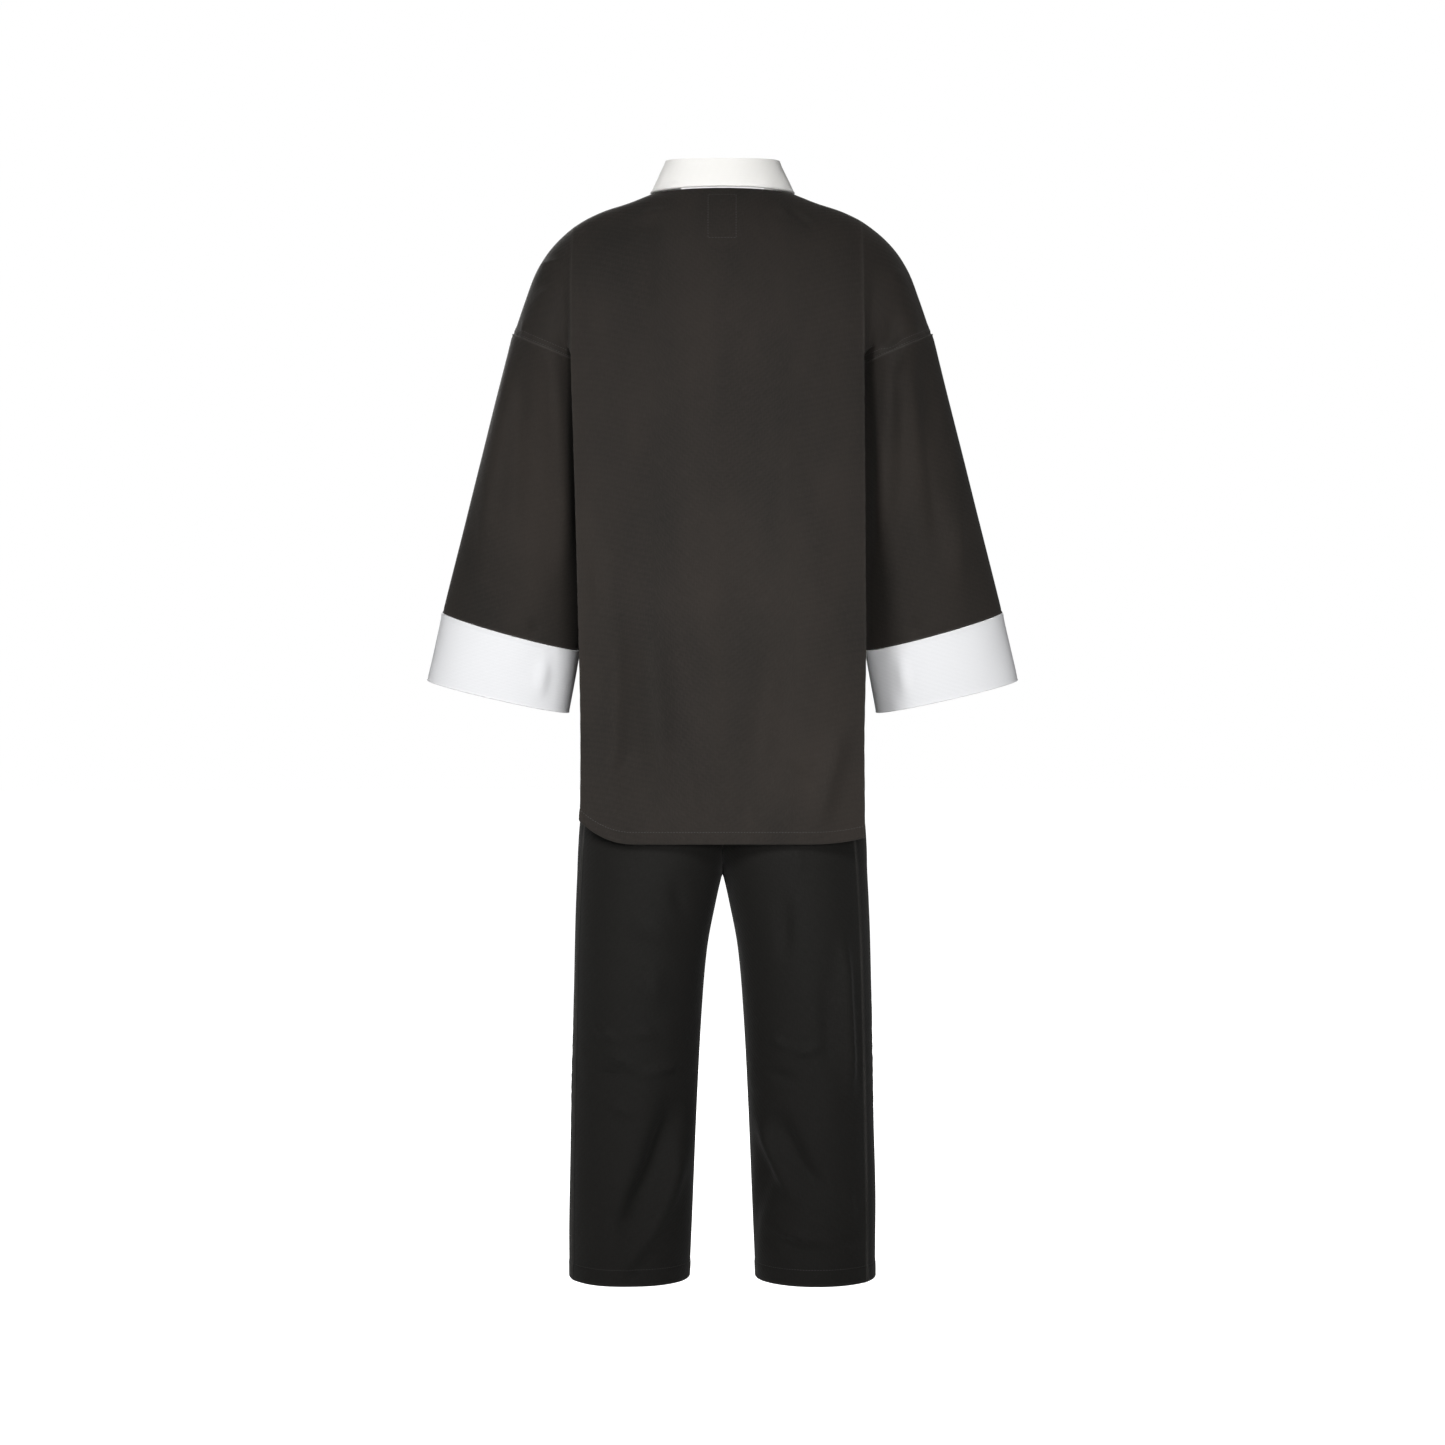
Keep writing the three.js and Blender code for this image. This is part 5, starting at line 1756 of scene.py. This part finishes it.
@dataclass
class Trousers:
    """Straight trousers: four panels and the waist casing. Sizes are in millimetres."""

    wardrobe: Wardrobe
    row: float = 5.0
    hem: float = 20.0

    def heights(self) -> Points:
        """Heights of the rows, with the crotch among them."""
        hem = LEGS[-1][0]
        top = steps(WAIST_SEAM_Z, CROTCH_Z, self.row)
        low = steps(CROTCH_Z, hem + 26, self.row)
        last = np.linspace(hem + 26, hem, 20)
        return np.concatenate([top, low[1:], last[1:]])

    def panel(self, face: Face, hand: Hand) -> Sheet:
        """Sheet of one trouser panel."""
        turn = steps(0, 1, 0.02, 0.007, 0.04, "both")
        sheet = Sheet()
        sheet.grid(trouser_half(face, hand, turn[None, :], self.heights()[:, None]), face.sign * hand.value < 0)
        sheet.weld()
        return sheet

    def shape(self, sheet: Sheet, face: Face, hand: Hand) -> Points:
        """Adds the creases, the hem and the seam ridges.

        Args:
            sheet: the welded panel, which is changed.
            face: back or front.
            hand: left or right.

        Returns:
            How far each point takes the pale edge colour: rubbed edges, and an uneven lighter streak along the outer
            seam.
        """
        p = sheet.points
        edge = sheet.distance_to(p[sheet.border()])
        z = self.heights()
        outseam = sheet.distance_to(trouser_half(face, hand, 0.0, np.linspace(z[0], z[-1], 900)))
        hem = sheet.distance_to(trouser_half(face, hand, np.linspace(0, 1, 200), z[-1]))
        free = 1 - ease(p[:, 2], -800, -765)
        height = crease_height(LEG_CREASES, p, sheet.normals()) * ease(edge, -4, 14) * free
        uneven = 0.7 * surface_noise(p, LEG_SWELL, 11.3 + hand.value + face.sign)
        knee = 0.9 * surface_noise(p, KNEE_SWELL, 21.5 + hand.value) * bump(p[:, 2] - KNEE_Z, KNEE_REACH)
        height += (uneven + knee) * ease(edge, 0, 20) * free
        pucker = 1 + 0.5 * surface_noise(p, HEM_PUCKER, 5.5)
        height += hem_relief(hem, self.hem, 0.6) * pucker
        height += (0.7 * bump(outseam - 2.6, 1.8) - 0.6 * bump(outseam, 1.0)) * free
        sheet.press(height)
        # Uneven lighter streak along the outer seam, and a lighter border at the rubbed edges.
        streak = 0.5 + 0.5 * surface_noise(p, STREAK_SWELL, 31.0)
        return np.clip(0.5 * np.exp(-edge / 1.4) + 0.9 * streak * bump(outseam - 1.8, 1.8), 0, 1)

    def build(self) -> None:
        """Builds and dresses the four panels and the waist casing."""
        for face in (BACK, FRONT):
            for hand in Hand:
                node = f"trouser_{face.word}_{hand.word}"
                sheet = self.panel(face, hand)
                piece = sheet.mesh(f"{node}_cloth", self.shape(sheet, face, hand))
                thicken(piece, CLOTH, 0.5)
                finish_piece(piece, Slot.TROUSERS, self.wardrobe.trousers, node)
                turn = np.linspace(0, 1, 200)
                edge = trouser_half(face, hand, turn, LEGS[-1][0])
                sewn = Stitching(f"stitches_{node}", [sheet])
                sewn.row(inset(edge, trouser_half(face, hand, turn, LEGS[-1][0] + 30), self.hem))
                sewn.build(Slot.TROUSERS, self.wardrobe.trouser_thread)
        self.waist()

    def waist(self) -> None:
        """Builds the elastic waist casing, ruched in small uneven gathers."""
        turn = np.linspace(0, 2 * np.pi, 361)
        up = np.linspace(0, 1, 13)[:, None]
        half = lerp(WAIST_TOP_HALF_WIDTH, LEG_HALF(WAIST_SEAM_Z), up)
        depth = lerp(WAIST_TOP_DEPTH, LEG_DEPTH(WAIST_SEAM_Z), up)
        z = lerp(WAIST_TOP_Z, WAIST_SEAM_Z + SEAM_GAP, up)
        ruche = 0.9 * np.sin(46 * turn + 1.4 * np.sin(5 * turn)) * np.sin(np.pi * np.clip(up, 0.02, 0.98)) ** 0.5
        points = pack((half + ruche) * np.cos(turn), (depth + ruche) * np.sin(turn), z + 0 * turn)
        sheet = Sheet()
        sheet.grid(points, False)
        sheet.weld()
        edge = sheet.distance_to(sheet.points[sheet.border()])
        piece = sheet.mesh("waistband_cloth", np.exp(-edge / 1.2))
        thicken(piece, CASING, 0.8)
        finish_piece(piece, Slot.TROUSERS, self.wardrobe.trousers, "waistband")
        sewn = Stitching("stitches_waistband", [sheet])
        for row in (2, 10):
            sewn.row(points[row])
        sewn.build(Slot.TROUSERS, self.wardrobe.trouser_thread)


@dataclass(frozen=True)
class Lamp:
    """Soft area light: where it stands, what it points at, its size in metres, power and spread."""

    name: str
    at: tuple[float, float, float]
    aim: tuple[float, float, float]
    size: float
    power: float
    spread: float = 180.0

    def build(self) -> None:
        """Adds the light."""
        light = bpy.data.lights.new(self.name, "AREA")
        light.size = self.size
        light.energy = self.power
        light.spread = math.radians(self.spread)
        lamp = bpy.data.objects.new(self.name, light)
        bpy.context.scene.collection.objects.link(lamp)
        lamp.location = self.at
        lamp.rotation_euler = (Vector(self.aim) - Vector(self.at)).to_track_quat("-Z", "Y").to_euler()


@dataclass
class Studio:
    """Pale floor, soft lights and the camera. Sizes are in metres."""

    floor_z: float = -1.365
    camera_at: tuple[float, float, float] = (0.0, 3.7, -0.628)
    lens: float = 76.8
    surround: float = 0.14
    floor_glow: float = 1.0
    lamps: tuple[Lamp, ...] = (
        Lamp("key", (1.1, 3.1, 0.8), (0, 0.1, -0.45), 0.8, 11, 62),
        Lamp("fill", (-0.5, 3.6, -0.4), (0, 0.1, -0.62), 0.8, 3.8, 32),
        Lamp("front", (0.9, -3.2, 0.9), (0, 0, -0.5), 1.6, 80),
    )

    def build(self) -> None:
        """Builds the floor, the light and the camera."""
        bpy.context.scene.view_settings.view_transform = "Standard"
        self._floor()
        self._world()
        for lamp in self.lamps:
            lamp.build()
        self._camera()

    def _floor(self) -> None:
        """Wide pale floor that looks as bright as the surroundings."""
        deselect()
        bpy.ops.mesh.primitive_circle_add(vertices=96, radius=30, fill_type="NGON", location=(0, 0, 0))
        floor = bpy.context.object
        floor.name = "floor"
        floor.data.transform(Matrix.Translation((0, 0, self.floor_z)))
        s = Shader("pale floor")
        place = s.node("ShaderNodeTexCoord")[3]
        pale = s.mix(s.grain(place, 3.0), (0.93, 0.93, 0.93), (0.95, 0.95, 0.95))
        seen = s.node("ShaderNodeLightPath")[0]
        glow = s.mix(seen, (0, 0, 0), (1, 1, 1))
        s.surface(Base_Color=pale, Roughness=0.9, Emission_Color=glow, Emission_Strength=self.floor_glow)
        floor.data.materials.append(s.material)

    def _world(self) -> None:
        """White surroundings that light the suit less than they look bright."""
        world = bpy.data.worlds.new("white studio")
        world.use_nodes = True
        nodes, links = world.node_tree.nodes, world.node_tree.links
        seen = nodes["Background"]
        seen.inputs[0].default_value = (1, 1, 1, 1)
        felt = nodes.new("ShaderNodeBackground")
        felt.inputs[1].default_value = self.surround
        mix, path = nodes.new("ShaderNodeMixShader"), nodes.new("ShaderNodeLightPath")
        links.new(path.outputs["Is Camera Ray"], mix.inputs[0])
        links.new(felt.outputs[0], mix.inputs[1])
        links.new(seen.outputs[0], mix.inputs[2])
        links.new(mix.outputs[0], nodes["World Output"].inputs[0])
        felt.inputs[0].default_value = (1, 1, 1, 1)
        bpy.context.scene.world = world

    def _camera(self) -> None:
        """Level camera behind the wearer, looking toward -Y."""
        data = bpy.data.cameras.new("camera")
        data.lens = self.lens
        data.sensor_width = 36
        camera = bpy.data.objects.new("camera", data)
        camera.location = self.camera_at
        camera.rotation_euler = (math.pi / 2, 0, math.pi)
        bpy.context.scene.collection.objects.link(camera)
        bpy.context.scene.camera = camera


def main() -> None:
    """Builds the suit piece by piece, then the studio."""
    logging.basicConfig(level=logging.INFO, format="%(name)s %(message)s")
    wardrobe = Wardrobe()
    Studio().build()
    panels = Jacket(wardrobe).build()
    Sleeves(wardrobe).build()
    Collar(wardrobe).build()
    Frogs(wardrobe, [panels["jacket_front_left"], panels["jacket_front_right"]]).build()
    Trousers(wardrobe).build()


if __name__ == "__main__":
    main()
